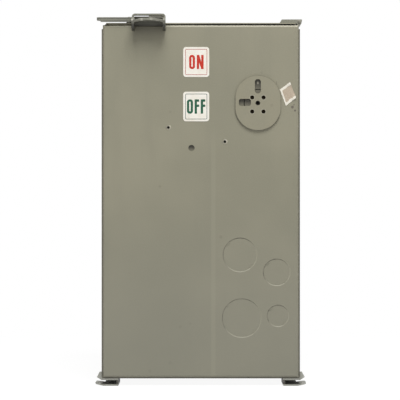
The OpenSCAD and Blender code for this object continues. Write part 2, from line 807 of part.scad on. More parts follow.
// Leaf inside the wall, with a tongue up to the middle knuckle
module hinge_bracket(d) color(zinc) difference() {
    union() {
        block(inner_half - leaf_t, inner_half, d, d + hinge_len, wall_top - bracket_h, wall_top);
        block(inner_half - leaf_t, inner_half, mid_start(d), mid_end(d), wall_top - tongue_lap, hinge_z);
        rod_y(hinge_x, hinge_z, knuckle_r, mid_start(d), mid_end(d));
    }
    rod_y(hinge_x, hinge_z, hinge_pin_r + fix_gap, d - cut, d + hinge_len + cut);
}

module hinge_pins() color(zinc) for (d = hinge_starts) {
    rod_y(hinge_x, hinge_z, hinge_pin_r, d - pin_end, d + hinge_len + pin_end);
}

// Arched band of the hood's visor
module visor_arch() intersection() {
    translate([hood_x, arch_z]) difference() {
        circle(arch_r, $fn = 180);
        circle(arch_r - lever_t, $fn = 180);
    }
    pane(hood_x0, lever_z0 - 2 * lever_t, hood_x1, lever_z1);
}

// Back wall of the hood, hung from the arch in front of the panel
module skirt_front() intersection() {
    translate([hood_x, arch_z]) circle(arch_r - lever_t / 2, $fn = 180);
    pane(hood_x0, lever_z0 - skirt_drop, hood_x1, lever_z1);
}

// Stop plate in the eye, which leaves a slit on the left
module stop_front() {
    z1 = lever_z1 + eye_h - eye_t;
    pane(hood_x0, lever_z0 - skirt_drop, hood_x1, z1 - slit_h);
    pane(hood_x, lever_z0, hood_x1, z1);
}

// Side of a hood cheek, up to the arch, with its lower front corner rounded
module cheek_side() {
    z0 = lever_z0 - hood_drop;
    z1 = lever_z1 - visor_drop - visor_rise - lever_t / 2;
    pane(-hood_reach, z0 + cheek_r, -hood_gap, z1);
    pane(-hood_reach + cheek_r, z0, -hood_gap, z1);
    translate([-hood_reach + cheek_r, z0 + cheek_r]) circle(cheek_r);
}

// Front of the eye that a hook stick catches: a band over the visor
module eye_front() {
    z0 = lever_z0 - skirt_drop;
    z1 = lever_z1 + eye_h;
    difference() {
        round_pane(hood_x0, z0, hood_x1, z1, eye_r);
        round_pane(hood_x0 + eye_t, z0 - 2 * eye_r, hood_x1 - eye_t, z1 - eye_t, eye_r - eye_t);
    }
}

// Plan of the strap, with the tongue that carries the hood
module strap_plan() {
    x1 = hood_x0 + strap_lap;
    round_pane(-half_w - lever_proud, post_d - lever_w / 2, x1, post_d + lever_w / 2, strap_r);
    pane(hood_x0, -eye_at - eye_w, x1, post_d);
}

module latch_lever() color(zinc) difference() {
    union() {
        along_z(lever_z0, lever_z1) strap_plan();
        along_y(post_d - lever_w / 2, post_d - lever_w / 2 + lever_t)
            pane(-half_w - lever_proud + strap_r, lever_z0 - rim_drop, hood_x0 + strap_lap, lever_z1);
        along_y(-hood_reach, -hood_gap) visor_arch();
        along_y(-hood_gap - lever_t, -hood_gap) {
            skirt_front();
            stop_front();
        }
        along_y(-eye_at - eye_w, -eye_at) eye_front();
        for (x = [hood_x0, hood_x1 - lever_t]) along_x(x, x + lever_t) cheek_side();
    }
    rod_z(post_x, post_d, post_r + run_gap, lever_z0 - cut, lever_z1 + cut);
}

// Shouldered post on the cover, riveted over on top of the lever
module latch_post() color(zinc) {
    rod_z(post_x, post_d, post_head_r, cover_z1, cover_z1 + post_shoulder);
    rod_z(post_x, post_d, post_r, cover_z1, lever_z1 + slide_gap);
    translate([post_x, front_y + post_d, lever_z1 + slide_gap]) dome(post_head_r, post_head_h);
}

// Section of a right-hand clip: a channel that opens outwards
module clip_section() {
    pane(clip_web_x, 0, clip_web_x + clip_t, clip_h);
    pane(clip_web_x, 0, lip_x, clip_t);
    pane(clip_web_x, clip_h - clip_t, half_w, clip_h);
}

// Section of the tongue that turns up from a clip's lower lip
module lip_section() {
    round_x = lip_tip_x - clip_t / 2;
    polygon([
        [lip_x - clip_t, 0],
        [lip_x, 0],
        [round_x, lip_rise],
        [round_x, lip_rise + clip_t],
        [lip_x, clip_t],
        [lip_x - clip_t, clip_t]
    ]);
    translate([round_x, lip_rise + clip_t / 2]) circle(clip_t / 2);
}

// Ear at a clip's outer end that guides it onto the duct's edge
module clip_ear() polygon([
    [half_w, clip_h - clip_t],
    [half_w + ear_reach, clip_h + ear_tip],
    [half_w + ear_top, clip_h + ear_rise],
    [half_w, clip_h + ear_rise]
]);

module hanger_clip(s) color(zinc) mirror([s < 0 ? 1 : 0, 0, 0]) {
    along_y(clip_in, clip_in + clip_len) clip_section();
    along_y(clip_in, clip_in + clip_t) clip_ear();
    intersection() {
        along_y(clip_in, clip_in + lip_w) lip_section();
        along_z(-cut, clip_h) round_pane(clip_web_x, clip_in, lip_tip_x, clip_in + lip_w, lip_r);
    }
}

module operating_disc() color(paint) along_y(-disc_gap - disc_t, -disc_gap)
    translate([hub_x, hub_z]) difference() {
        union() {
            pane(-disc_r, -disc_long, disc_r, disc_long);
            for (s = sides) translate([0, s * disc_long]) circle(disc_r);
        }
        translate([0, slot_v_at])
            round_pane(-slot_v_w / 2, -slot_v_len / 2, slot_v_w / 2, slot_v_len / 2, slot_v_r);
        translate([-slot_h_at, slot_h_up])
            round_pane(-slot_h_len / 2, -slot_h_w / 2, slot_h_len / 2, slot_h_w / 2, slot_h_r);
        circle(d = centre_hole_dia);
        handle_holes();
    }

// Holes for the handle's four bolts, about the shaft's axis
module handle_holes() {
    for (x = sides, z = sides)
        translate([x * handle_half[0], z * handle_half[1] - handle_drop]) circle(d = handle_hole_dia);
}

// Shaft with a flange for the disc, a round front bearing, a square length and a rear journal
module drive_shaft() color(zinc) difference() {
    union() {
        along_y(-disc_gap, hub_t - disc_gap) translate([hub_x, hub_z]) difference() {
            circle(hub_r);
            handle_holes();
        }
        rod_y(hub_x, hub_z, shaft_r, -disc_gap, bracket_back + shaft_round);
        along_y(bracket_back + shaft_round, journal_d0) translate([hub_x, hub_z]) rotate(throw_deg)
            square(shaft_square, center = true);
        rod_y(hub_x, hub_z, journal_r, journal_d0, journal_d1);
    }
    rod_y(hub_x, hub_z, tap_r, -disc_gap - cut, tap_d);
}

module shaft_bushing() color([0.75, 0.6, 0.3]) difference() {
    union() {
        rod_y(hub_x, hub_z, bush_r + bush_rim, bracket_d - bush_rim_t, bracket_d);
        rod_y(hub_x, hub_z, bush_r, bracket_d, bush_end);
    }
    rod_y(hub_x, hub_z, shaft_r + run_gap, bracket_d - bush_rim_t - cut, bush_end + cut);
}

module retaining_ring() color(zinc) difference() {
    rod_y(hub_x, hub_z, shaft_r + ring_w, bush_end + slide_gap, bush_end + slide_gap + ring_t);
    rod_y(hub_x, hub_z, shaft_r + fix_gap, bush_end, bush_end + ring_t + cut);
}

// Folded bracket that carries the shaft behind the panel, riveted through its left foot and lower flange
module bearing_bracket() color(paint) difference() {
    left = rivet_left[0] - foot_half[0];
    right = hub_x + hub_r + hub_room + bracket_edge;
    low = panel_z0 + rivet_right[1] + foot_half[1];
    left_z = panel_z0 + rivet_left[1];
    flange_x0 = spare_at[0] - spare_dia / 2 - flange_edge;
    flange_x1 = rivet_right[0] + foot_half[0];
    union() {
        along_y(bracket_d, bracket_back) round_pane(left, low, right, hub_z + bracket_rise, bracket_r);
        along_y(sheet, sheet + bracket_t) {
            pane(left, left_z - foot_half[1], left + 2 * foot_half[0], left_z + foot_half[1]);
            pane(flange_x0, panel_z0 + spare_at[1] - spare_dia / 2 - flange_edge, flange_x1, low);
        }
        block(left, left + bracket_t, sheet, bracket_back, low + bracket_r, left_z + foot_half[1]);
        along_x(flange_x0, flange_x1) {
            pane(sheet, low - bracket_t, bracket_back, low);
            pane(bracket_d, low - bracket_t, bracket_back, low + bracket_r);
        }
        along_z(hub_z - foot_rise, hub_z + foot_rise) {
            pane(right - bracket_t, sheet, right, bracket_back);
            pane(right - bracket_t, sheet, right + foot_len, sheet + bracket_t);
        }
    }
    rod_y(hub_x, hub_z, bush_r + fix_gap, bracket_d - cut, bracket_back + cut);
    for (v = pop_rivets)
        rod_y(v[0], panel_z0 + v[1], pop_shank_r + seat_gap, sheet - cut, sheet + bracket_t + cut);
}

// Blind rivet: a domed ring on the panel and an upset tail behind the bracket's foot
module pop_rivet() rotate([-90, 0, 0]) difference() {
    union() {
        rotate([180, 0, 0]) dome(pop_head_r, pop_head_h);
        cylinder(r = pop_shank_r, h = sheet + bracket_t);
        translate([0, 0, sheet + bracket_t]) cylinder(r = pop_head_r, h = pop_tail);
    }
    translate([0, 0, -pop_head_h - cut]) cylinder(r = pop_hole_r, h = pop_head_h + cut + sheet);
}

module panel_rivets() color(zinc) for (v = pop_rivets)
    translate([v[0], front_y, panel_z0 + v[1]]) pop_rivet();

module rear_bearing() color([0.85, 0.84, 0.8]) difference() {
    union() {
        rod_y(hub_x, hub_z, cup_r, journal_d1 - cup_lap, box_d - sheet);
        along_y(box_d - sheet - plate_t, box_d - sheet) translate([hub_x, hub_z])
            round_pane(-plate_half[0], -plate_half[1], plate_half[0], plate_half[1], plate_r);
    }
    rod_y(hub_x, hub_z, journal_r + run_gap, journal_d0, journal_d1 + slide_gap);
}

module rotor_bar() color([0.45, 0.22, 0.12]) along_y(rotor_d0, rotor_d1)
    translate([hub_x, hub_z]) rotate(throw_deg) difference() {
        square(rotor_side, center = true);
        square(shaft_square + 2 * seat_gap, center = true);
    }

module switch_blade(p) color(copper) along_y(pole_d(p) - blade_t / 2, pole_d(p) + blade_t / 2)
    translate([hub_x, hub_z]) rotate(throw_deg) difference() {
        union() {
            circle(blade_hub_r);
            round_pane(-blade_reach, -blade_w / 2, 0, blade_w / 2, blade_r);
        }
        square(rotor_side + 2 * seat_gap, center = true);
    }

// Moulded base: a block over the stab slots, an upright barrier and ribs between the poles
module line_base() color(phenolic) difference() {
    union() {
        along_y(base_d0, base_d1) {
            pane(block_x0, panel_z0, barrier_x1, block_top);
            pane(barrier_x0, panel_z0, barrier_x1, hub_z + barrier_rise);
        }
        for (p = [0.5, 1.5]) pole_block(p, rib_t / 2, barrier_x1 - cut, barrier_x1 + rib_reach,
            hub_z - rib_drop, hub_z + rib_rise);
    }
    for (p = poles) {
        stab_slot(p, panel_z0 - cut, block_top + cut);
        rod_x(pole_d(p), bolt_z, bolt_r + seat_gap, barrier_x0 - cut, barrier_x1 + cut);
    }
}

// Copper bar from a stab jaw, across the base and up the barrier's line side
module line_bar(p) color(copper) difference() {
    along_y(pole_d(p) - bar_half, pole_d(p) + bar_half) {
        pane(stab_x(p) - slot_half[0], block_top, barrier_x0, block_top + bar_t);
        pane(barrier_x0 - bar_t, block_top, barrier_x0, bolt_z + bar_rise);
    }
    rod_x(pole_d(p), bolt_z, bolt_r + seat_gap, barrier_x0 - bar_t - cut, barrier_x0 + cut);
}

// Section of a spring jaw that hangs in its slot and grips one busbar
module jaw_section() {
    grip = busbar_t / 2 + busbar_room;
    pane(-grip - contact_t, block_top - contact_t, grip + contact_t, block_top);
    for (s = sides) translate([s * (grip + contact_t / 2), panel_z0 + stab_lift]) {
        pane(-contact_t / 2, 0, contact_t / 2, base_h - stab_lift);
        circle(contact_t / 2);
    }
}

module stab_jaw(p) color(copper) along_y(pole_d(p) - bar_half, pole_d(p) + bar_half)
    translate([stab_x(p), 0]) jaw_section();

// Line contact: two leaves that the blade swings between
module line_jaw(p) color(copper) difference() {
    union() {
        pole_block(p, jaw_half, barrier_x1, barrier_x1 + contact_t, bolt_z - jaw_half, hub_z + jaw_rise);
        contact_leaves(p)
            round_pane(barrier_x1, hub_z - jaw_drop, barrier_x1 + jaw_reach, hub_z + jaw_rise, jaw_r);
    }
    rod_x(pole_d(p), bolt_z, bolt_r + seat_gap, barrier_x1 - cut, barrier_x1 + contact_t + cut);
}

// The same outline as two leaves, one on each side of a blade
module contact_leaves(p) for (s = sides) {
    c = pole_d(p) + s * leaf_mid;
    along_y(c - contact_t / 2, c + contact_t / 2) children();
}

module jaw_bolts() color(zinc) for (p = poles) {
    rod_x(pole_d(p), bolt_z, bolt_r, barrier_x0 - bolt_tail, barrier_x1 + contact_t);
    translate([barrier_x1 + contact_t, front_y + pole_d(p), bolt_z]) rotate([0, 90, 0])
        cylinder(r = bolt_head_r, h = bolt_head_h, $fn = 6);
}

module load_base() color(phenolic) difference() {
    block(load_x, inner_half, base_d0, base_d1, lug_z0 - board_under, hub_z + board_rise);
    for (p = poles, z = screw_heights)
        rod_x(pole_d(p), z, screw_r + seat_gap, load_x - cut, load_x + screw_grip + screw_room);
}

// Contact that holds a blade's hub, with a tail down to the upper fuse clip
module hinge_contact(p) color(copper) difference() {
    union() {
        pole_block(p, strap_half, web_x, load_x, fuse_z1 - tongue_in, hub_z + contact_rise);
        contact_leaves(p) translate([hub_x, hub_z]) difference() {
            union() {
                circle(blade_hub_r + leaf_rim);
                pane(0, -arm_half, load_x - hub_x, arm_half);
            }
            circle(rotor_side / sqrt(2) + rotor_room);
        }
    }
    rod_x(pole_d(p), screw_heights[0], screw_r + seat_gap, web_x - cut, load_x + cut);
}

// Spring clip round one end of a fuse, from the lower ends of its ring and its screw tongue
module fuse_clip(p, z0, tongue_z0) difference() {
    z1 = z0 + grip_h;
    union() {
        pole_block(p, strap_half, clip_x, web_x, tongue_z0, tongue_z0 + tongue_in + tongue_out);
        pole_block(p, neck_half, fuse_x, clip_x + strap_t / 2, z0, z1);
        rod_z(fuse_x, pole_d(p), clip_ring_r, z0, z1);
    }
    rod_z(fuse_x, pole_d(p), fuse_r + seat_gap, z0 - cut, z1 + cut);
    pole_block(p, 2 * fuse_r, fuse_x - 2 * fuse_r, fuse_x - mouth_x, z0 - cut, z1 + cut);
    for (z = screw_heights) rod_x(pole_d(p), z, screw_r + seat_gap, clip_x - cut, web_x + cut);
}

module fuse_clips(p) color(copper) {
    fuse_clip(p, fuse_z1 - grip_in - grip_h, fuse_z1 - tongue_in);
    fuse_clip(p, fuse_z0 + grip_in, fuse_z0 - tongue_out);
}

module load_bar(p) color(copper) difference() {
    pole_block(p, strap_half, web_x, load_x, lug_z0 - bar_under, fuse_z0 + bar_lap);
    rod_x(pole_d(p), screw_heights[1], screw_r + seat_gap, web_x - cut, load_x + cut);
}

// Cartridge fuse: a fibre tube between two metal caps, turned about its axis
module fuse(p) color([0.8, 0.74, 0.6]) translate([fuse_x, front_y + pole_d(p), fuse_z0]) rotate_extrude() {
    pane(0, 0, fuse_r, cap_len);
    pane(0, fuse_len - cap_len, fuse_r, fuse_len);
    pane(0, 0, fuse_r - tube_step, fuse_len);
}

module load_lug(p) color(lug_metal) difference() {
    pole_block(p, strap_half, lug_x0, web_x, lug_z0, lug_z1);
    rod_z(wire_x, pole_d(p), lug_wire_r, lug_z0 - cut, lug_z1 - wire_stop);
    rod_x(pole_d(p), lug_screw_z, lug_screw_r + seat_gap, lug_x0 - cut, wire_x);
}

module clip_screws() color(zinc) for (p = poles, z = screw_heights) {
    rod_x(pole_d(p), z, screw_r, clip_x, load_x + screw_grip);
    rod_x(pole_d(p), z, screw_head_r, clip_x - screw_head_h, clip_x);
}

module lug_screws() color(zinc) {
    for (p = poles)
        rod_x(pole_d(p), lug_screw_z, lug_screw_r, lug_x0 - lug_screw_out, wire_x - lug_wire_r - slide_gap);
    rod_z(ground_x, ground_d, ground_screw_r, ground_top - ground_screw_in, ground_top + ground_screw_out);
}

module ground_lug() color(lug_metal) difference() {
    along_z(panel_z0, ground_top) translate([ground_x, ground_d]) square(2 * ground_half, center = true);
    translate([0, ground_d, 0])
        rod_y(ground_x, ground_mid, ground_wire_r, -ground_half[1] - cut, ground_half[1] + cut);
    rod_z(ground_x, ground_d, ground_screw_r + seat_gap, ground_mid, ground_top + cut);
}

case_wrapper();
front_panel();
rear_panel();
cover();
cover_gaskets();
interlock_striker();
cover_rivets();
hinge_leaf(hinge_starts[0]);  // hinge_leaf_front
hinge_leaf(hinge_starts[1]);  // hinge_leaf_rear
hinge_bracket(hinge_starts[0]);  // hinge_bracket_front
hinge_bracket(hinge_starts[1]);  // hinge_bracket_rear
hinge_pins();
latch_lever();
latch_post();
hanger_clip(-1);  // hanger_clip_front_left
hanger_clip(1);  // hanger_clip_front_right
rear_twin() hanger_clip(-1);  // hanger_clip_rear_left
rear_twin() hanger_clip(1);  // hanger_clip_rear_right
operating_disc();
drive_shaft();
shaft_bushing();
bearing_bracket();
retaining_ring();
panel_rivets();
rear_bearing();
rotor_bar();
line_base();
jaw_bolts();
load_base();
clip_screws();
lug_screws();
ground_lug();
for (p = poles) {
    switch_blade(p);
    line_bar(p);
    stab_jaw(p);
    line_jaw(p);
    hinge_contact(p);
    fuse_clips(p);
    load_bar(p);
    fuse(p);
    load_lug(p);
}
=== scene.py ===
import math

import bpy
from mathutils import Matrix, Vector


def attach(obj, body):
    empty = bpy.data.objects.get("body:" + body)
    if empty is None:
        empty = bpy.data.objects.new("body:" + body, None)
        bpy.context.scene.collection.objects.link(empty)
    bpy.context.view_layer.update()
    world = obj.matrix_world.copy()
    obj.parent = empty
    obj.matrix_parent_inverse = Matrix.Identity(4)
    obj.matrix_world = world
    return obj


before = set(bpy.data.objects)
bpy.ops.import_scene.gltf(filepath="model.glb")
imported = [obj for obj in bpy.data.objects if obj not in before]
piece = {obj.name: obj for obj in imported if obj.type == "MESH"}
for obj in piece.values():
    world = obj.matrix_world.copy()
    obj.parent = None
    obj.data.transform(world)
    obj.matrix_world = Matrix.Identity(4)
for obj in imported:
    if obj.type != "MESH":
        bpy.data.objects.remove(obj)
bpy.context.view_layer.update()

# Case wrapper: one sheet of steel folded into the left side, the bottom and the right side.
# It is sprayed with a khaki-grey enamel that has dulled with age, and its bottom folds are
# rubbed down to the steel where the box was set on the ground.


class Flow:
    """A socket of a finish. Arithmetic on it adds Math nodes, and node() adds any other kind."""

    def __init__(self, tree, socket):
        self.tree = tree
        self.socket = socket

    def node(self, kind, settings, sockets, out=0):
        made = self.tree.nodes.new(kind)
        for name, value in settings.items():
            setattr(made, name, value)
        for key, value in sockets.items():
            if isinstance(value, Flow):
                self.tree.links.new(value.socket, made.inputs[key])
            else:
                made.inputs[key].default_value = value
        return Flow(self.tree, made.outputs[out]) if made.outputs else None

    def output(self, name):
        return Flow(self.tree, self.socket.node.outputs[name])

    def math(self, operation, *values):
        return self.node("ShaderNodeMath", {"operation": operation}, dict(enumerate(values)))

    def __add__(self, other):
        return self.math("ADD", self, other)

    def __radd__(self, other):
        return self.math("ADD", other, self)

    def __sub__(self, other):
        return self.math("SUBTRACT", self, other)

    def __rsub__(self, other):
        return self.math("SUBTRACT", other, self)

    def __mul__(self, other):
        return self.math("MULTIPLY", self, other)

    def __rmul__(self, other):
        return self.math("MULTIPLY", other, self)

    def __or__(self, other):
        return self.math("MAXIMUM", self, other)

    def __abs__(self):
        return self.math("ABSOLUTE", self)

    def rise(self, low, high):
        """0 below low, 1 above high, and a soft step between them."""
        ends = {"Value": self, "From Min": low, "From Max": high}
        return self.node("ShaderNodeMapRange", {"interpolation_type": "SMOOTHSTEP"}, ends)

    def fall(self, low, high):
        return 1.0 - self.rise(low, high)


def tone(red, green, blue):
    """A colour as a paint chart gives it, 0 to 255, in the linear values that shaders use."""
    linear = [c / 255 / 12.92 if c < 10.3 else ((c / 255 + 0.055) / 1.055) ** 2.4 for c in (red, green, blue)]
    return (*linear, 1.0)


def start_finish(name):
    """A new finish, and the place on the piece in metres."""
    finish = bpy.data.materials.new(name)
    finish.use_nodes = True
    tree = finish.node_tree
    tree.nodes.clear()
    return finish, Flow(tree, tree.nodes.new("ShaderNodeTexCoord").outputs["Object"])


def axes(at):
    split = at.node("ShaderNodeSeparateXYZ", {}, {0: at})
    return split, split.output("Y"), split.output("Z")


def stretched(at, size, along):
    scale = [share / size for share in along]
    return at.node("ShaderNodeVectorMath", {"operation": "MULTIPLY"}, {0: at, 1: scale})


def cloud(at, size, detail=2.0, along=(1, 1, 1)):
    """Soft patches of about that size, drawn out where along is small."""
    place = stretched(at, size, along)
    return at.node("ShaderNodeTexNoise", {}, {"Vector": place, "Scale": 1.0, "Detail": detail})


def flecks(at, size, share):
    """Small round flecks, one to each chosen cell of that size."""
    cells = at.node("ShaderNodeTexVoronoi", {}, {"Vector": stretched(at, size, (1, 1, 1)), "Scale": 1.0})
    draw = at.node("ShaderNodeSeparateColor", {}, {0: cells.output("Color")})
    return cells.fall(0.1, 0.22) * draw.rise(1 - share, 1 - share + 0.02)


def laid(mask, under, over):
    """One colour over another where the mask is 1."""
    return mask.node("ShaderNodeMix", {"data_type": "RGBA"}, {0: mask, 6: under, 7: over}, 2)


def set_finish(at, colour, roughness, height, depth, metal=0.0, specular=0.5):
    relief = at.node("ShaderNodeBump", {}, {"Distance": depth, "Height": height})
    sockets = {"Base Color": colour, "Roughness": roughness, "Metallic": metal, "Normal": relief}
    sockets["Specular IOR Level"] = specular
    at.node("ShaderNodeOutputMaterial", {}, {0: at.node("ShaderNodeBsdfPrincipled", {}, sockets)})


def dress(finish, *names):
    for name in names:
        for place in piece[name].material_slots:
            place.material = finish


def enamel(at):
    """Colour, roughness and relief of the aged khaki-grey enamel."""
    broad = cloud(at, 0.15, 3)
    runs = cloud(at, 0.03, 3, (1, 1, 0.12))
    peel = cloud(at, 0.0014)
    colour = laid(broad.rise(0.36, 0.66), tone(141, 138, 119), tone(150, 146, 126))
    colour = laid(runs.rise(0.5, 0.72) * 0.3, colour, tone(133, 131, 114))
    colour = laid(peel.rise(0.45, 0.75) * 0.22, colour, tone(160, 156, 137))
    colour = laid(flecks(at, 0.013, 0.05) * 0.3, colour, tone(108, 103, 88))
    # Painted shade, partly a greyer tone: the enamel turns darker and greyer towards the bottom.
    colour = laid(axes(at)[2].fall(0.02, 0.3) * 0.55, colour, tone(136, 135, 123))
    roughness = 0.42 + 0.14 * broad + 0.1 * peel
    return colour, roughness, peel


BARE_STEEL = tone(168, 165, 156)
DIRT_AND_SHADE = tone(58, 53, 44)
CASE_BOTTOM = 0.0095
CASE_HALF = 0.127
CUT_EDGE = -0.1397
PEEL_DEPTH = 0.00006

finish, at = start_finish("case_enamel")
x, y, z = axes(at)
colour, roughness, peel = enamel(at)
scuff = cloud(at, 0.006, 4)
fold = z.fall(CASE_BOTTOM + 0.0015, CASE_BOTTOM + 0.004) * abs(x).rise(CASE_HALF - 0.004, CASE_HALF - 0.0015)
worn = fold * scuff.rise(0.46, 0.56)
splash = z.fall(CASE_BOTTOM, CASE_BOTTOM + 0.06) * cloud(at, 0.02, 4).rise(0.45, 0.7) * 0.35
colour = laid(splash, colour, tone(112, 105, 88))
colour = laid(worn, colour, BARE_STEEL)
# Painted shade: the front edges of the side folds are darkened as if in shadow.
edge_shade = y.fall(CUT_EDGE + 0.0002, CUT_EDGE + 0.0006) * (0.55 + 0.45 * scuff)
colour = laid(edge_shade, colour, tone(88, 85, 76))
set_finish(at, colour, roughness - worn * 0.1, peel, PEEL_DEPTH, worn * 0.8)
dress(finish, "case_wrapper")

# End panels: two folded pans that close the ends of the case, sprayed with the same enamel.
# The front one has pressed conduit knockouts with dirt and painted shade on their rims' upper left and a
# painted highlight on their lower right, a faint pale stripe painted as a highlight, a short dark upright
# line beside the disc, chips under the torn tag, painted shadow under the latch's hood, painted shade
# behind the disc's slots and in the joint along the top edge, and a painted highlight on the top fold.
KNOCKOUTS = (
    (0.0502, 0.1677, 0.022),
    (0.0972, 0.1454, 0.01745),
    (0.0524, 0.0868, 0.0252),
    (0.0988, 0.0897, 0.0141),
)
KNOCKOUT_RIM = 0.0008
HUB = (0.073, 0.362)
DISC_RADIUS = 0.029
DISC_LONG = 0.006
SLOT_GLINT = (0.0731, 0.3878, 0.0015, 0.003)
PANEL_FACE = -0.1415
PANEL_HALF = 0.1255
PANEL_TOP = 0.462
PALE_STRIPE = (0.0133, 0.0188, 0.338)
STRIPE_SOFT = 0.001
DARK_STREAK = (0.0966, 0.381, 0.391)
UNDER_HOOD = (-0.089, -0.044)
SHADOW_HEIGHT = (0.442, 0.4605)
DARK_JOINT = (-0.06, 0.02)
JOINT_SHADE = tone(20, 18, 14)
SLOT_SHADE = tone(44, 41, 33)
RUBBED_PAINT = tone(172, 167, 150)
CHIPS = ((0.1174, 0.357, 0.0021), (0.1207, 0.3526, 0.0015), (0.1192, 0.3598, 0.001))


def far_from(at, across, up):
    """Distance from a line that runs through the panel at that place."""
    face = at.node("ShaderNodeVectorMath", {"operation": "MULTIPLY"}, {0: at, 1: (1, 0, 1)})
    return at.node("ShaderNodeVectorMath", {"operation": "DISTANCE"}, {0: face, 1: (across, 0, up)}, "Value")


def far_from_shaft(x, z):
    """Distance from the short upright line that the disc's outline is drawn round."""
    side = x - HUB[0]
    rise = (abs(z - HUB[1]) - DISC_LONG) | 0.0
    square = side * side + rise * rise
    return square.math("SQRT", square)


def shade_behind_slots(x, z):
    """How deep the painted shade lies behind the disc's slots: most under the upper edge of each."""
    upright = abs(x - HUB[0]).fall(0.0045, 0.0055) * z.rise(HUB[1] + 0.009, HUB[1] + 0.011)
    upper = z.rise(HUB[1] + 0.013, HUB[1] + 0.027) * 0.45 + 0.45
    side = z.rise(HUB[1] - 0.003, HUB[1] + 0.003) * 0.45 + 0.45
    deep = upright * upper + (1.0 - upright) * side
    return deep * far_from_shaft(x, z).fall(DISC_RADIUS - 0.003, DISC_RADIUS - 0.0015)


def panel_rim(x, z):
    """The folds round a panel's face, where the paint rubs thin."""
    sides = abs(x).rise(PANEL_HALF - 0.0022, PANEL_HALF - 0.0004)
    return sides | z.rise(PANEL_TOP - 0.0022, PANEL_TOP - 0.0004)


finish, at = start_finish("panel_enamel")
x, _, z = axes(at)
colour, roughness, peel = enamel(at)
scuff = cloud(at, 0.005, 4)
# Painted highlight: a faint pale upright stripe down the lower part of the panel.
highlight_stripe = x.rise(PALE_STRIPE[0] - STRIPE_SOFT, PALE_STRIPE[0] + STRIPE_SOFT)
highlight_stripe = highlight_stripe * x.fall(PALE_STRIPE[1] - STRIPE_SOFT, PALE_STRIPE[1] + STRIPE_SOFT)
colour = laid(highlight_stripe * z.fall(PALE_STRIPE[2] - 0.06, PALE_STRIPE[2]) * 0.2, colour, tone(165, 161, 141))
for across, up, radius in KNOCKOUTS:
    # Dirt with painted shade on each rim's upper left, and a painted highlight on its lower right.
    rim = abs(far_from(at, across, up) - (radius - KNOCKOUT_RIM / 2)).fall(KNOCKOUT_RIM * 0.4, KNOCKOUT_RIM)
    upper_left = (z - up - (x - across)).rise(-0.6 * radius, 0.6 * radius)
    colour = laid(rim * upper_left * (0.25 + 0.35 * scuff.rise(0.4, 0.7)), colour, DIRT_AND_SHADE)
    colour = laid(rim * (1.0 - upper_left) * 0.3, colour, tone(182, 178, 158))
# Painted shade behind the disc's slots.
colour = laid(shade_behind_slots(x, z), colour, SLOT_SHADE)
# Painted highlight: a small pale lens in the upright slot above the shaft.
glint = abs(x - SLOT_GLINT[0]) * (1 / SLOT_GLINT[2]) + abs(z - SLOT_GLINT[1]) * (1 / SLOT_GLINT[3])
colour = laid(glint.fall(0.4, 1.0) * 0.6, colour, tone(190, 185, 166))
# Painted shadow on the panel under the latch's hood.
hood_shadow = z.rise(*SHADOW_HEIGHT) * x.rise(UNDER_HOOD[0], UNDER_HOOD[0] + 0.005)
colour = laid(hood_shadow * x.fall(UNDER_HOOD[1] - 0.005, UNDER_HOOD[1]) * 0.5, colour, tone(70, 66, 56))
# Painted highlight along the panel's top fold, right of the hood.
fold_highlight = z.rise(PANEL_TOP - 0.003, PANEL_TOP - 0.002) * x.rise(UNDER_HOOD[1], UNDER_HOOD[1] + 0.01)
colour = laid(fold_highlight * 0.55, colour, tone(196, 191, 172))
# Painted shade in the joint under the cover, along the panel's top edge.
shaded_joint = z.rise(PANEL_TOP - 0.0003, PANEL_TOP - 0.0001) * x.rise(*DARK_JOINT)
colour = laid(shaded_joint, colour, JOINT_SHADE)
ring = abs(far_from_shaft(x, z) - DISC_RADIUS).fall(0.0004, 0.0014)
colour = laid(ring * (0.1 + 0.3 * scuff.rise(0.4, 0.7)), colour, tone(92, 88, 74))
# A short dark upright line beside the disc.
streak = abs(x - DARK_STREAK[0]).fall(0.0002, 0.0007) * z.rise(DARK_STREAK[1], DARK_STREAK[1] + 0.002)
streak = streak * z.fall(DARK_STREAK[2] - 0.002, DARK_STREAK[2])
colour = laid(streak * 0.45, colour, tone(80, 77, 65))
for across, up, radius in CHIPS:
    chip = (far_from(at, across, up) + 0.0016 * (scuff - 0.5)).fall(radius * 0.7, radius)
    colour = laid(chip * 0.85, colour, tone(96, 88, 80))
worn = panel_rim(x, z) * scuff.rise(0.56, 0.66) * 0.7
colour = laid(worn, colour, RUBBED_PAINT)
set_finish(at, colour, roughness - worn * 0.08, peel, PEEL_DEPTH)
dress(finish, "front_panel")

finish, at = start_finish("rear_enamel")
x, _, z = axes(at)
colour, roughness, peel = enamel(at)
rubbed = cloud(at, 0.05, 4, (1, 1, 0.4)).rise(0.58, 0.72) * 0.35
colour = laid(rubbed, colour, tone(122, 117, 101))
worn = panel_rim(x, z) * cloud(at, 0.005, 4).rise(0.54, 0.64) * 0.7
colour = laid(worn, colour, RUBBED_PAINT)
set_finish(at, colour, roughness, peel, PEEL_DEPTH)
dress(finish, "rear_panel")

# Cover: a folded steel lid, hinged along the right side and enamelled with the case.
# Dust has settled on its top, its sides are a little rubbed along the folds, and the joint under
# its front edge is darkened with painted shade.
COVER_TOP = 0.4647
COVER_HALF = 0.124
COVER_FRONT = -0.1412

finish, at = start_finish("cover_enamel")
x, y, z = axes(at)
colour, roughness, peel = enamel(at)
dust = z.rise(COVER_TOP - 0.0008, COVER_TOP - 0.0002) * (0.2 + 0.5 * cloud(at, 0.035, 4).rise(0.42, 0.7))
dust = dust * y.rise(COVER_FRONT + 0.0003, COVER_FRONT + 0.0008)
colour = laid(dust, colour, tone(168, 162, 146))
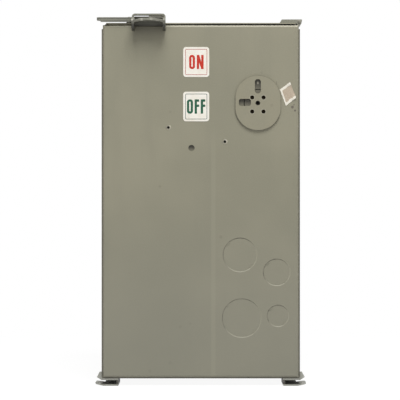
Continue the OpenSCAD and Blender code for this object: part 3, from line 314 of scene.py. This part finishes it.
# Painted shade in the joint, under the cover's front edge.
shaded_joint = z.fall(COVER_TOP - 0.0014, COVER_TOP - 0.0011) * y.fall(COVER_FRONT + 0.012, COVER_FRONT + 0.02)
colour = laid(shaded_joint * x.rise(*DARK_JOINT), colour, JOINT_SHADE)
worn = abs(x).rise(COVER_HALF - 0.0016, COVER_HALF - 0.0004) * cloud(at, 0.005, 4).rise(0.56, 0.64)
colour = laid(worn * 0.7, colour, RUBBED_PAINT)
set_finish(at, colour, roughness + dust * 0.25, peel, PEEL_DEPTH)
dress(finish, "cover")

# Cover gaskets: two strips of black sponge rubber, glued under the cover where it meets the
# end panels' flanges. The rubber is matt, with a fine open skin and some dust on it, and paint
# has caught it left of the latch's hood.
HOOD_LEFT = -0.088

finish, at = start_finish("gasket_sponge")
x = axes(at)[0]
skin = cloud(at, 0.0007, 3)
dusty = cloud(at, 0.012, 3).rise(0.5, 0.75)
colour = laid(dusty * 0.2, tone(14, 13, 12), tone(40, 38, 35))
colour = laid(x.fall(HOOD_LEFT - 0.004, HOOD_LEFT) * (0.8 + 0.2 * dusty), colour, tone(150, 146, 128))
set_finish(at, colour, 0.82 + 0.12 * skin, skin, 0.0002, specular=0.2)
dress(finish, "cover_gaskets")

# Interlock striker, retaining ring, bolts and screws: steel parts with a dull zinc plate.
# The plate is spangled, gone grey in patches, and has a bloom of white corrosion in places.
GRAIN_DEPTH = 0.00004


def zinc_plate(at):
    """Colour, roughness and relief of dull zinc plate."""
    spangle = at.node("ShaderNodeTexVoronoi", {}, {"Vector": stretched(at, 0.004, (1, 1, 1)), "Scale": 1.0})
    leaf = at.node("ShaderNodeSeparateColor", {}, {0: spangle.output("Color")})
    dulled = cloud(at, 0.018, 4)
    colour = laid(leaf, tone(150, 149, 143), tone(172, 171, 164))
    colour = laid(dulled.rise(0.45, 0.7) * 0.55, colour, tone(121, 119, 111))
    bloom = cloud(at, 0.0045, 4).rise(0.62, 0.72) * 0.5
    colour = laid(bloom, colour, tone(196, 194, 186))
    return colour, 0.3 + 0.25 * dulled + 0.2 * bloom, cloud(at, 0.0006, 2), bloom


finish, at = start_finish("dull_zinc")
colour, roughness, grain, bloom = zinc_plate(at)
set_finish(at, colour, roughness, grain, GRAIN_DEPTH, 0.9 - bloom * 0.8)
dress(finish, "interlock_striker", "retaining_ring")
dress(finish, "jaw_bolts", "clip_screws", "lug_screws")

# Cover rivets: two domed steel rivets through the cover and the striker, sprayed over with the
# cover. Their crowns are rubbed bright, because the latch lever passes close above them.
RIVET_CROWN = 0.4655

finish, at = start_finish("rivet_enamel")
z = axes(at)[2]
colour, roughness, peel = enamel(at)
worn = (z + 0.0006 * (cloud(at, 0.002, 3) - 0.5)).rise(RIVET_CROWN - 0.0003, RIVET_CROWN)
colour = laid(worn, colour, BARE_STEEL)
set_finish(at, colour, roughness - worn * 0.12, peel, PEEL_DEPTH, worn * 0.85)
dress(finish, "cover_rivets")

# Hinges: two steel butt hinges with bent leaves, thinly enamelled over dull zinc plate. The
# knuckles and the leaves' edges are rubbed to the metal, and grease holds dirt beside the pins.
HINGE_AXIS = (0.1264, 0.4666)
KNUCKLE = 0.0034
LEAF_TOP = 0.4705

finish, at = start_finish("hinge_enamel")
x, _, z = axes(at)
colour, roughness, peel = enamel(at)
scuff = cloud(at, 0.004, 4)
colour = laid(0.45 + 0.4 * scuff, colour, tone(134, 135, 126))
barrel = far_from(at, *HINGE_AXIS).fall(KNUCKLE - 0.0002, KNUCKLE + 0.0012)
worn = (barrel * scuff.rise(0.44, 0.58) | z.rise(LEAF_TOP - 0.0007, LEAF_TOP) * scuff.rise(0.58, 0.66)) * 0.75
grease_and_shade = far_from(at, *HINGE_AXIS).fall(0.0015, 0.0022)
colour = laid(worn, colour, tone(163, 159, 146))
colour = laid(grease_and_shade * 0.5, colour, DIRT_AND_SHADE)
set_finish(at, colour, roughness - worn * 0.1, peel, PEEL_DEPTH, worn * 0.6)
dress(finish, "hinge_leaf_front", "hinge_leaf_rear", "hinge_pins")
dress(finish, "hinge_bracket_front", "hinge_bracket_rear")

# Latch lever and its post: a pressed steel lever that turns on a shouldered post in the cover.
# The lever was thinly enamelled over zinc. Hands have worn its strap's end and hood's lip, dirt lies
# along the strap, the hood's inside has painted shade, and the stop plate in its eye is painted near
# white as a highlight.
STRAP_END = -0.1332
HOOD_LIP = -0.1635
WALL_FOOT = 0.46055
STRAP_SEAMS = (0.4699, 0.467)
STOP_PLATE = (-0.067, -0.1462, 0.4704)

finish, at = start_finish("latch_enamel")
x, y, z = axes(at)
colour, roughness, peel = enamel(at)
scuff = cloud(at, 0.006, 4)
colour = laid(0.4 + 0.5 * scuff, colour, tone(126, 127, 119))
handled = x.fall(STRAP_END + 0.002, STRAP_END + 0.02) * scuff.rise(0.44, 0.64) * 0.3
seams = abs(z - STRAP_SEAMS[0]).fall(0.0003, 0.001) | abs(z - STRAP_SEAMS[1]).fall(0.0004, 0.001)
colour = laid(seams * x.fall(HOOD_LEFT - 0.002, HOOD_LEFT) * (0.5 + 0.4 * scuff), colour, tone(70, 70, 63))
lip = y.fall(HOOD_LIP + 0.0005, HOOD_LIP + 0.0035) * scuff.rise(0.48, 0.6)
lip = lip * z.rise(WALL_FOOT + 0.004, WALL_FOOT + 0.006)
worn = handled | lip
# Painted shade on the lower part of the hood, darkest at its foot.
under = z.fall(WALL_FOOT, WALL_FOOT + 0.003) * 0.35 + z.fall(WALL_FOOT + 0.0045, WALL_FOOT + 0.0075) * 0.5
colour = laid(under * x.rise(HOOD_LEFT - 0.001, HOOD_LEFT), colour, tone(36, 33, 27))
colour = laid(worn * 0.85, colour, tone(178, 175, 164))
# Painted highlight: the stop plate in the eye is painted near white.
stop_highlight = y.rise(STOP_PLATE[1] - 0.0004, STOP_PLATE[1] - 0.0002) * z.rise(STOP_PLATE[2], STOP_PLATE[2] + 0.0008)
stop_highlight = stop_highlight * x.rise(STOP_PLATE[0], STOP_PLATE[0] + 0.001)
colour = laid(stop_highlight, colour, tone(246, 243, 232))
set_finish(at, colour, roughness - worn * 0.1, peel, PEEL_DEPTH, worn * 0.4)
dress(finish, "latch_lever")

finish, at = start_finish("post_zinc")
colour, roughness, grain, _ = zinc_plate(at)
oiled = cloud(at, 0.006, 4).rise(0.45, 0.7) * 0.5
colour = laid(oiled, colour, tone(98, 94, 84))
set_finish(at, colour, roughness + 0.1, grain, GRAIN_DEPTH, 0.5)
dress(finish, "latch_post")

# Hanger clips: four channels of folded steel, spot-welded under the case, that grip the edges
# of the busbar duct. Their lips and ears are rubbed bright, and their insides are dark with caked dirt
# and painted shade.
CLIP_LIP = (0.0022, 0.0073)
CLIP_INSIDE = (0.1245, 0.1285)
CLIP_TIP = (0.127, 0.132)

finish, at = start_finish("clip_enamel")
x, _, z = axes(at)
colour, roughness, peel = enamel(at)
scuff = cloud(at, 0.004, 4)
inside = z.rise(CLIP_LIP[0] - 0.0004, CLIP_LIP[0] + 0.0002) * abs(x).fall(*CLIP_INSIDE)
inside = inside * z.fall(CLIP_LIP[1] - 0.0002, CLIP_LIP[1] + 0.0004)
colour = laid(0.5 + 0.4 * scuff, colour, tone(158, 159, 152))
tips = abs(x).rise(*CLIP_TIP) * (0.35 + 0.65 * scuff.rise(0.4, 0.56))
# Caked dirt and painted shade inside the channel.
colour = laid(inside * (0.75 + 0.25 * scuff), colour, tone(47, 40, 33))
colour = laid(tips * 0.8, colour, tone(182, 182, 174))
set_finish(at, colour, roughness - tips * 0.08, peel, PEEL_DEPTH, tips * 0.4)
dress(finish, "hanger_clip_front_left", "hanger_clip_front_right")
dress(finish, "hanger_clip_rear_left", "hanger_clip_rear_right")

# Operating disc: a pressed steel plate that carried the lever handle, enamelled with the panel.
# Its lower left rim is darkened with painted shade, and the handle's screws have rubbed a ring round each of
# four holes.
HANDLE_HOLES = ((-0.0073, 0.0072), (0.0073, 0.0072), (-0.0073, -0.0108), (0.0073, -0.0108))
HANDLE_HOLE_RADIUS = 0.0026

finish, at = start_finish("disc_enamel")
x, _, z = axes(at)
colour, roughness, peel = enamel(at)
scuff = cloud(at, 0.004, 4)
colour = laid(cloud(at, 0.02, 3).rise(0.3, 0.7) * 0.3 + 0.2, colour, tone(152, 146, 124))
# Painted shade along the disc's lower left rim.
rim_shade = far_from_shaft(x, z).rise(DISC_RADIUS - 0.0012, DISC_RADIUS - 0.0001)
colour = laid(rim_shade * (x + z).fall(HUB[0] + HUB[1] - 0.03, HUB[0] + HUB[1]) * 0.6, colour, tone(84, 80, 68))
for across, up in HANDLE_HOLES:
    reach = far_from(at, HUB[0] + across, HUB[1] + up)
    rubbed = reach.fall(HANDLE_HOLE_RADIUS + 0.0004, HANDLE_HOLE_RADIUS + 0.0016) * (0.25 + 0.4 * scuff)
    colour = laid(rubbed, colour, tone(174, 170, 152))
set_finish(at, colour, roughness, peel, PEEL_DEPTH)
dress(finish, "operating_disc")

# Pop rivets of the panel: two steel rivets that hold the bearing bracket, left by the spray gun
# with thin paint. The mandrel's hole in each head is painted black as shade, and each rim has a painted
# highlight on its lower right.
RIVETS = ((-0.0415, 0.3309), (0.0308, 0.3127))
RIVET_HOLE = (0.0014, 0.0019)
RIVET_RIM = (0.0018, 0.0024)
RIVET_ROOM = (0.006, 0.007)

finish, at = start_finish("pop_rivet_steel")
x, _, z = axes(at)
colour, roughness, grain, _ = zinc_plate(at)
colour = laid(cloud(at, 0.003, 3).rise(0.3, 0.6) * 0.4 + 0.5, colour, tone(142, 138, 120))
for across, up in RIVETS:
    reach = far_from(at, across, up)
    # Painted highlight on the lower right of each rim, and painted shade in the mandrel's hole.
    low_right = ((x - across) - (z - up)).rise(-0.002, 0.001)
    low_right = low_right * reach.rise(*RIVET_RIM) * reach.fall(*RIVET_ROOM)
    colour = laid(low_right * 0.85, colour, tone(200, 195, 176))
    colour = laid(reach.fall(*RIVET_HOLE), colour, tone(12, 11, 8))
set_finish(at, colour, roughness + 0.15, grain, GRAIN_DEPTH, specular=0.2)
dress(finish, "panel_rivets")

# Bearing bracket: folded steel riveted behind the panel and painted with the case. A little of it
# shows in the panel's spare hole. Its paint has painted shade round the shaft and in that hole,
# deepest under the hole's upper edge.
SPARE_HOLE = (-0.0119, 0.3046)

finish, at = start_finish("bracket_enamel")
colour, roughness, peel = enamel(at)
# Painted shade round the shaft, seen through the disc's holes.
grease_and_shade = far_from(at, *HUB).fall(0.012, 0.03)
colour = laid(grease_and_shade * (0.55 + 0.4 * cloud(at, 0.005, 4)), colour, tone(52, 48, 40))
# Painted shade in the spare hole, deepest under its upper edge.
upper = axes(at)[2].rise(SPARE_HOLE[1] - 0.004, SPARE_HOLE[1] + 0.002)
hole_shade = far_from(at, *SPARE_HOLE).fall(0.004, 0.006) * (upper * 0.5 + 0.4)
colour = laid(hole_shade, colour, tone(40, 37, 30))
set_finish(at, colour, roughness, peel, PEEL_DEPTH)
dress(finish, "bearing_bracket")

# Drive shaft with its bushing and rear bearing: a turned steel shaft with a squared length, in
# an oil-filled bronze bush at the front and a moulded cup at the rear. The flange that carries the
# disc was sprayed with it and has painted shade behind the disc's slots. The shaft's end in the disc's
# centre hole and the bush's front face are painted dark as shade.
FLANGE_BACK = -0.1381
BUSH_FRONT = -0.1345

finish, at = start_finish("turned_steel")
x, y, z = axes(at)
turned = cloud(at, 0.0009, 2, (0.2, 1, 0.2))
oiled = cloud(at, 0.02, 3)
colour = laid(oiled.rise(0.4, 0.7), tone(164, 163, 158), tone(120, 116, 106))
sprayed = y.fall(FLANGE_BACK, FLANGE_BACK + 0.0003)
paint = laid(oiled.rise(0.35, 0.65), tone(136, 132, 115), tone(122, 118, 102))
# Painted shade behind the disc's slots.
paint = laid(shade_behind_slots(x, z), paint, SLOT_SHADE)
colour = laid(sprayed, colour, paint)
# Painted shade: the shaft's end in the disc's centre hole is darkened.
colour = laid(far_from(at, *HUB).fall(0.0031, 0.0036) * 0.9, colour, tone(38, 35, 28))
roughness = 0.26 + 0.2 * oiled + 0.1 * turned + 0.2 * sprayed
set_finish(at, colour, roughness, turned, 0.00003, 0.95 - 0.95 * sprayed)
dress(finish, "drive_shaft")

finish, at = start_finish("sintered_bronze")
pores = cloud(at, 0.0005, 3)
colour = laid(pores.rise(0.45, 0.65), tone(112, 92, 62), tone(134, 110, 76))
colour = laid(cloud(at, 0.009, 3).rise(0.4, 0.65) * 0.7, colour, tone(66, 56, 42))
# Painted shade: the bush's front face, seen through the disc's holes, is darkened.
colour = laid(axes(at)[1].fall(BUSH_FRONT, BUSH_FRONT + 0.0005) * 0.9, colour, tone(38, 34, 27))
set_finish(at, colour, 0.4 + 0.2 * pores, pores, 0.00006, 0.9)
dress(finish, "shaft_bushing")

finish, at = start_finish("moulded_bearing")
sink = cloud(at, 0.006, 3)
colour = laid(sink.rise(0.35, 0.7), tone(214, 208, 192), tone(200, 192, 172))
colour = laid(flecks(at, 0.004, 0.2) * 0.4, colour, tone(120, 112, 96))
set_finish(at, colour, 0.42 + 0.12 * sink, sink, 0.00005)
dress(finish, "rear_bearing")

# Rotor bar, line base and load base: pressed phenolic mouldings that insulate the switch.
# The moulding is brown-black, with a mottled skin and pale flecks of its filler.


def phenolic(name, dark, light):
    made, at = start_finish(name)
    swirl = cloud(at, 0.012, 4)
    grain = cloud(at, 0.001, 2)
    body = laid(swirl.rise(0.38, 0.68), dark, light)
    body = laid(grain.rise(0.55, 0.75) * 0.3, body, tone(86, 76, 66))
    body = laid(flecks(at, 0.006, 0.15) * 0.35, body, tone(122, 112, 98))
    set_finish(at, body, 0.36 + 0.2 * swirl + 0.12 * grain, grain, 0.00005)
    return made


dress(phenolic("rotor_moulding", tone(34, 29, 26), tone(48, 41, 36)), "rotor_bar")
dress(phenolic("line_moulding", tone(40, 34, 30), tone(56, 47, 41)), "line_base")
dress(phenolic("load_board", tone(62, 42, 34), tone(80, 54, 43)), "load_base")

# Copper work: blades, jaws, bars, contacts and fuse clips, sheared and bent from hard copper.
# Some of the tin plate has worn off, and the bare copper has tarnished brown in patches.


def copper(name, tinned):
    made, at = start_finish(name)
    tarnish = cloud(at, 0.014, 4)
    brush = cloud(at, 0.0012, 2, (1, 1, 0.15))
    metal = laid(brush.rise(0.35, 0.7), tone(188, 124, 84), tone(204, 144, 104))
    metal = laid(tarnish.rise(0.46, 0.66) * 0.75, metal, tone(122, 78, 54))
    metal = laid(cloud(at, 0.008, 3).rise(0.62 - tinned, 0.7 - tinned) * 0.85, metal, tone(176, 172, 164))
    set_finish(at, metal, 0.26 + 0.3 * tarnish, brush, 0.00003, 0.95)
    return made


dress(copper("blade_copper", 0.02), "switch_blade_1", "switch_blade_2", "switch_blade_3")
bars = copper("bar_copper", 0.0)
jaws = copper("tinned_jaw", 0.24)
for pole in ("_1", "_2", "_3"):
    dress(bars, "line_bar" + pole, "load_bar" + pole, "hinge_contact" + pole)
    dress(jaws, "stab_jaw" + pole, "line_jaw" + pole, "fuse_clips" + pole)

# Fuses: cartridge fuses of wound fibre tube with crimped brass caps, pressed into the clips.
# The tube is tan with a plain pale band, and the caps have dulled and been scraped by the clips.
FUSE_ENDS = (0.161, 0.299)
FUSE_CAP = 0.02
FUSE_BAND = (0.2035, 0.2565)

finish, at = start_finish("fuse_fibre")
z = axes(at)[2]
wound = cloud(at, 0.003, 3, (1, 1, 6))
stain = cloud(at, 0.03, 4)
colour = laid(wound.rise(0.35, 0.7), tone(188, 160, 116), tone(206, 180, 136))
colour = laid(stain.rise(0.5, 0.72) * 0.4, colour, tone(142, 112, 76))
band = z.rise(FUSE_BAND[0], FUSE_BAND[0] + 0.001) * z.fall(FUSE_BAND[1] - 0.001, FUSE_BAND[1])
colour = laid(band * (0.9 - 0.25 * stain), colour, tone(206, 203, 190))
capped = z.fall(FUSE_ENDS[0] + FUSE_CAP, FUSE_ENDS[0] + FUSE_CAP + 0.0002)
capped = capped | z.rise(FUSE_ENDS[1] - FUSE_CAP - 0.0002, FUSE_ENDS[1] - FUSE_CAP)
scraped = cloud(at, 0.003, 3, (1, 1, 0.15))
brass = laid(scraped.rise(0.4, 0.65), tone(176, 150, 92), tone(140, 112, 66))
colour = laid(capped, colour, brass)
set_finish(at, colour, 0.62 - capped * 0.3 + 0.15 * scraped, wound, 0.00005, capped * 0.9)
dress(finish, "fuse_1", "fuse_2", "fuse_3")

# Lugs: extruded aluminium blocks with a bored wire hole, on the load bars and the case.
# The aluminium is drawn along its length, sawn at the ends and has dulled.
finish, at = start_finish("drawn_aluminium")
drawn = cloud(at, 0.0009, 2, (1, 1, 0.1))
dulled = cloud(at, 0.012, 3)
colour = laid(drawn.rise(0.3, 0.7), tone(188, 188, 186), tone(206, 206, 204))
colour = laid(dulled.rise(0.5, 0.7) * 0.5, colour, tone(150, 150, 148))
set_finish(at, colour, 0.3 + 0.22 * dulled, drawn, 0.00004, 0.95)
dress(finish, "load_lug_1", "load_lug_2", "load_lug_3", "ground_lug")

# Position labels: two pieces of white vinyl with rounded corners, stuck on the panel. Each has
# a thin printed border and bold letters, red for ON and green for OFF, a little raised as ink is.
LABEL_WIDTH = 0.0333
LABEL_FILM = 0.00025
INK = 0.00006
LABEL_ACROSS = -0.00585
LABEL_CORNER = 0.0036
BORDER_INSET = 0.0026
BORDER_LINE = 0.0007
BORDER_CORNER = 0.0016
ROUND_CORNER = 0.0035
ROUND_STROKE = 0.0029
STRAIGHT_STROKE = 0.003
NEAR = 1e-5


def pick(shape, kind, test):
    """Selects the corners, edges or faces whose middle passes the test."""
    bpy.ops.object.mode_set(mode="OBJECT")
    mesh = shape.data
    for group in (mesh.vertices, mesh.edges, mesh.polygons):
        group.foreach_set("select", [False] * len(group))
    for part in getattr(mesh, kind):
        corners = [part.index] if kind == "vertices" else part.vertices
        middle = sum((mesh.vertices[i].co for i in corners), start=mesh.vertices[0].co * 0) / len(corners)
        part.select = test(middle)
    bpy.ops.object.mode_set(mode="EDIT")
    mode = {"vertices": "VERT", "edges": "EDGE", "polygons": "FACE"}[kind]
    bpy.ops.mesh.select_mode(type=mode)


def new_sheet(name, across, up, width, height, front):
    """A flat rectangle that faces the front, at that place and size."""
    bpy.ops.object.select_all(action="DESELECT")
    bpy.ops.mesh.primitive_plane_add(size=1, location=(across, front, up), rotation=(math.pi / 2, 0, 0))
    shape = bpy.context.object
    shape.name = name
    shape.data.name = name
    shape.scale = (width, height, 1)
    bpy.ops.object.transform_apply(location=True, rotation=True, scale=True)
    return shape


def round_corners(shape, radius):
    pick(shape, "vertices", lambda middle: True)
    bpy.ops.mesh.bevel(affect="VERTICES", offset=radius, segments=8)


def thicken(shape, depth):
    """Pulls the flat shape out towards the front, and closes its back."""
    bpy.ops.object.mode_set(mode="EDIT")
    bpy.ops.mesh.select_mode(type="FACE")
    bpy.ops.mesh.select_all(action="SELECT")
    bpy.ops.mesh.extrude_region_move(TRANSFORM_OT_translate={"value": (0, -depth, 0)})
    bpy.ops.mesh.select_all(action="SELECT")
    bpy.ops.mesh.normals_make_consistent(inside=False)
    bpy.ops.object.mode_set(mode="OBJECT")


def pull(shape, test, move):
    """Draws the edges whose middle passes the test out into new faces."""
    pick(shape, "edges", test)
    bpy.ops.mesh.extrude_region_move(TRANSFORM_OT_translate={"value": move})


def hoop(name, across, up, width, height, radius, line, front):
    """A rounded frame, such as a border or the letter O."""
    shape = new_sheet(name, across, up, width, height, front)
    round_corners(shape, radius)
    bpy.ops.mesh.select_mode(type="FACE")
    bpy.ops.mesh.select_all(action="SELECT")
    bpy.ops.mesh.inset(thickness=line, depth=0)
    bpy.ops.mesh.delete(type="FACE")
    thicken(shape, INK)
    return shape


def letter_n(name, across, up, width, height, stroke, front):
    """Two stems and a slanting stroke between them."""
    left = across - width / 2
    shape = new_sheet(name, left + stroke / 2, up, stroke, height, front)
    thicken(shape, INK)
    for shift in (0, width - stroke):
        other = new_sheet(name + "_stroke", left + stroke / 2 + shift, up, stroke, height, front)
        if shift == 0:
            pick(other, "vertices", lambda middle: middle.z < up)
            bpy.ops.transform.translate(value=(width - stroke, 0, 0))
        thicken(other, INK)
        bpy.ops.object.select_all(action="DESELECT")
        bpy.context.view_layer.objects.active = shape
        joined = shape.modifiers.new("stroke", "BOOLEAN")
        joined.operation = "UNION"
        joined.object = other
        bpy.ops.object.modifier_apply(modifier=joined.name)
        bpy.data.objects.remove(other)
    return shape


def letter_f(name, across, up, width, height, stroke, front):
    """A stem with two arms, drawn out from its upper end."""
    left = across - width / 2
    top = up + height / 2
    shape = new_sheet(name, left + stroke / 2, top - stroke / 2, stroke, stroke, front)
    waist = height * 0.2
    stem = left + stroke * 0.9
    pull(shape, lambda middle: middle.x > stem, (width - stroke, 0, 0))
    low = top - stroke
    for drop in (waist, stroke, height - 2 * stroke - waist):
        pull(shape, lambda middle: abs(middle.z - low) < NEAR and middle.x < stem, (0, 0, -drop))
        low -= drop
    arm = top - stroke - waist - stroke / 2
    pull(shape, lambda middle: abs(middle.z - arm) < NEAR and middle.x > stem, (width - stroke, 0, 0))
    thicken(shape, INK)
    return shape


def vinyl(name):
    made, at = start_finish(name)
    yellowed = cloud(at, 0.012, 3)
    grain = cloud(at, 0.0009, 2)
    film = laid(yellowed.rise(0.35, 0.7), tone(250, 246, 236), tone(244, 238, 224))
    film = laid(flecks(at, 0.005, 0.12) * 0.25, film, tone(170, 162, 140))
    set_finish(at, film, 0.34 + 0.1 * grain, grain, 0.00002)
    return made


def ink(name, thin, full):
    made, at = start_finish(name)
    body = cloud(at, 0.002, 3)
    set_finish(at, laid(body.rise(0.35, 0.65), thin, full), 0.4 + 0.12 * body, body, 0.00001)
    return made


white_vinyl = vinyl("white_vinyl")
red_ink = ink("red_ink", tone(206, 54, 32), tone(188, 40, 22))
green_ink = ink("green_ink", tone(20, 92, 64), tone(8, 74, 50))
red_line = ink("red_line", tone(190, 110, 104), tone(170, 88, 84))
green_line = ink("green_line", tone(112, 122, 116), tone(88, 102, 96))
film_front = PANEL_FACE - LABEL_FILM
LABELS = (
    ("on", 0.41465, 0.0383, (("o", -0.0053, 0.0075), ("n", 0.0051, 0.0087)), 0.0181, red_ink, red_line),
    ("off", 0.35765, 0.0379, (("o", -0.008, 0.0078), ("f", 0.0009, 0.0058), ("f", 0.0087, 0.0058)), 0.0183,
     green_ink, green_line),
)
for word, up, height, letters, letter_height, print_ink, line_ink in LABELS:
    label = new_sheet(word + "_label", LABEL_ACROSS, up, LABEL_WIDTH, height, PANEL_FACE)
    round_corners(label, LABEL_CORNER)
    thicken(label, LABEL_FILM)
    label.data.materials.append(white_vinyl)
    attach(label, "case")
    inner = (LABEL_WIDTH - 2 * BORDER_INSET, height - 2 * BORDER_INSET)
    border = hoop(word + "_label_border", LABEL_ACROSS, up, *inner, BORDER_CORNER, BORDER_LINE, film_front)
    border.data.materials.append(line_ink)
    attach(border, "case")
    for order, (kind, shift, width) in enumerate(letters):
        name = f"{word}_label_letter_{order + 1}"
        middle = LABEL_ACROSS + shift
        if kind == "o":
            letter = hoop(name, middle, up, width, letter_height, ROUND_CORNER, ROUND_STROKE, film_front)
        elif kind == "n":
            letter = letter_n(name, middle, up, width, letter_height, STRAIGHT_STROKE, film_front)
        else:
            letter = letter_f(name, middle, up, width, letter_height, STRAIGHT_STROKE, film_front)
        letter.data.materials.append(print_ink)
        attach(letter, "case")

# Torn tag: what is left of a paper tag that was glued beside the disc. Its face has come away
# from the beige backing in the middle, and its ragged edges lift a little from the panel.
TAG_CORNERS = ((0.1012, 0.3794), (0.1144, 0.389), (0.1221, 0.3688), (0.1089, 0.3585))
TAG_PAPER = 0.00022
TAG_GLUE = 0.0001
TAG_RAG = 0.00035
TAG_CURL = 0.0011
CURL_CORNER = 0.0012
CURL_SPREAD = 0.007
TAG_START = 0.01
TAG_CUTS = 27

middle_x = sum(corner[0] for corner in TAG_CORNERS) / 4
middle_z = sum(corner[1] for corner in TAG_CORNERS) / 4
tag = new_sheet("torn_tag", middle_x, middle_z, TAG_START, TAG_START, PANEL_FACE - TAG_GLUE)
for (side, rise), (across, up) in zip(((-1, 1), (1, 1), (1, -1), (-1, -1)), TAG_CORNERS):
    start = (middle_x + side * TAG_START / 2, middle_z + rise * TAG_START / 2)
    pick(tag, "vertices", lambda spot: abs(spot.x - start[0]) < NEAR and abs(spot.z - start[1]) < NEAR)
    bpy.ops.transform.translate(value=(across - start[0], 0, up - start[1]))
pick(tag, "polygons", lambda spot: True)
bpy.ops.mesh.subdivide(number_cuts=TAG_CUTS)
bpy.ops.mesh.select_all(action="DESELECT")
bpy.ops.mesh.select_mode(type="VERT")
bpy.ops.mesh.select_non_manifold(extend=False)
bpy.ops.transform.vertex_random(offset=TAG_RAG, uniform=0.0, normal=0.0, seed=4)
bpy.ops.mesh.select_all(action="SELECT")
level = (middle_x, PANEL_FACE - TAG_GLUE, middle_z)
bpy.ops.transform.resize(value=(1, 0, 1), center_override=level)
for across, up in (TAG_CORNERS[1], TAG_CORNERS[2]):
    pick(tag, "vertices", lambda spot: math.hypot(spot.x - across, spot.z - up) < CURL_CORNER)
    bpy.ops.transform.translate(
        value=(0, -TAG_CURL, 0),
        use_proportional_edit=True,
        proportional_size=CURL_SPREAD,
        proportional_edit_falloff="SMOOTH",
    )
bpy.ops.object.mode_set(mode="OBJECT")
paper = tag.modifiers.new("paper", "SOLIDIFY")
paper.thickness = TAG_PAPER
paper.offset = 1.0
bpy.ops.object.modifier_apply(modifier=paper.name)

finish, at = start_finish("torn_paper")
split = at.node("ShaderNodeVectorMath", {"operation": "SUBTRACT"}, {0: at, 1: (middle_x, 0, middle_z)})
along, _, over = axes(split)
fibre = cloud(at, 0.0012, 4)
ragged = cloud(at, 0.003, 3) - 0.5
slant_low = over - 0.73 * along + 0.004 * ragged
slant_side = along + 0.365 * over + 0.003 * ragged
bare = slant_low.rise(-0.0098, -0.0086) * slant_low.fall(0.0086, 0.0098) * slant_side.rise(-0.0068, -0.0056)
colour = laid(fibre.rise(0.35, 0.7), tone(240, 234, 218), tone(250, 246, 234))
beige = laid(fibre.rise(0.3, 0.7), tone(186, 170, 150), tone(202, 188, 168))
colour = laid(bare, colour, beige)
set_finish(at, colour, 0.8 + 0.1 * fibre, fibre - bare, 0.00012, specular=0.2)
tag.data.materials.append(finish)
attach(tag, "case")

# Stage: a plain white floor and backdrop, a large soft light high above the front, and two weak fill
# lights. The floor keeps the soft shadow of the box and turns pure white further out.
bpy.ops.object.select_all(action="DESELECT")
bpy.ops.mesh.primitive_plane_add(size=14, location=(0, 2, 0))
floor = bpy.context.object
floor.name = "floor"
bpy.ops.object.transform_apply(location=True, rotation=True, scale=True)
finish, at = start_finish("white_floor")
x, y, _ = axes(at)
rays = at.node("ShaderNodeLightPath", {}, {}, "Is Camera Ray")
seen = rays | rays.output("Is Glossy Ray") | rays.output("Is Transmission Ray")
plain = at.node("ShaderNodeBsdfDiffuse", {}, {"Color": (0.8, 0.8, 0.8, 1)})
shadowed = at.node("ShaderNodeBsdfDiffuse", {}, {"Color": (0.16, 0.16, 0.16, 1)})
lifted = at.node("ShaderNodeEmission", {}, {"Color": (1, 1, 1, 1), "Strength": 0.92})
near = at.node("ShaderNodeAddShader", {}, {0: shadowed, 1: lifted})
far = at.node("ShaderNodeEmission", {}, {"Color": (1, 1, 1, 1), "Strength": 1.0})
white = at.node("ShaderNodeMixShader", {}, {0: (abs(x) | abs(y)).rise(0.35, 0.8), 1: near, 2: far})
shown = at.node("ShaderNodeMixShader", {}, {0: seen, 1: plain, 2: white})
at.node("ShaderNodeOutputMaterial", {}, {0: shown})
floor.data.materials.append(finish)

sky = bpy.data.worlds.new("studio")
sky.use_nodes = True
sky.node_tree.nodes.clear()
air = Flow(sky.node_tree, None)
rays = air.node("ShaderNodeLightPath", {}, {}, "Is Camera Ray")
seen = rays | rays.output("Is Glossy Ray") | rays.output("Is Transmission Ray")
ambient = air.node("ShaderNodeBackground", {}, {"Color": (1, 1, 1, 1), "Strength": 0.21})
backdrop = air.node("ShaderNodeBackground", {}, {"Color": (1, 1, 1, 1), "Strength": 1.0})
shown = air.node("ShaderNodeMixShader", {}, {0: seen, 1: ambient, 2: backdrop})
air.node("ShaderNodeOutputWorld", {}, {0: shown})
bpy.context.scene.world = sky

LAMPS = (
    ("key_light", (0.12, -1.1, 2.1), (0, -0.14, 0.3), 1.0, 38),
    ("left_fill", (-1.7, -2.2, 0.6), (0, -0.14, 0.25), 1.4, 4.6),
    ("right_fill", (1.9, -2.0, 0.6), (0, -0.14, 0.25), 1.4, 3.2),
)
for name, stand, aim, size, power in LAMPS:
    bpy.ops.object.light_add(type="AREA", location=stand)
    lamp = bpy.context.object
    lamp.name = name
    lamp.data.size = size
    lamp.data.energy = power
    lamp.rotation_euler = (Vector(aim) - Vector(stand)).to_track_quat("-Z", "Y").to_euler()

CAMERA_AWAY = 2.5
CAMERA_ACROSS = -0.001
CAMERA_HEIGHT = 0.238
PICTURE_WIDTH = 0.512
stand = (CAMERA_ACROSS, PANEL_FACE - CAMERA_AWAY, CAMERA_HEIGHT)
bpy.ops.object.camera_add(location=stand, rotation=(math.pi / 2, 0, 0))
camera = bpy.context.object
camera.data.sensor_width = 36
camera.data.lens = camera.data.sensor_width * CAMERA_AWAY / PICTURE_WIDTH
bpy.context.scene.camera = camera
bpy.context.scene.view_settings.view_transform = "Standard"
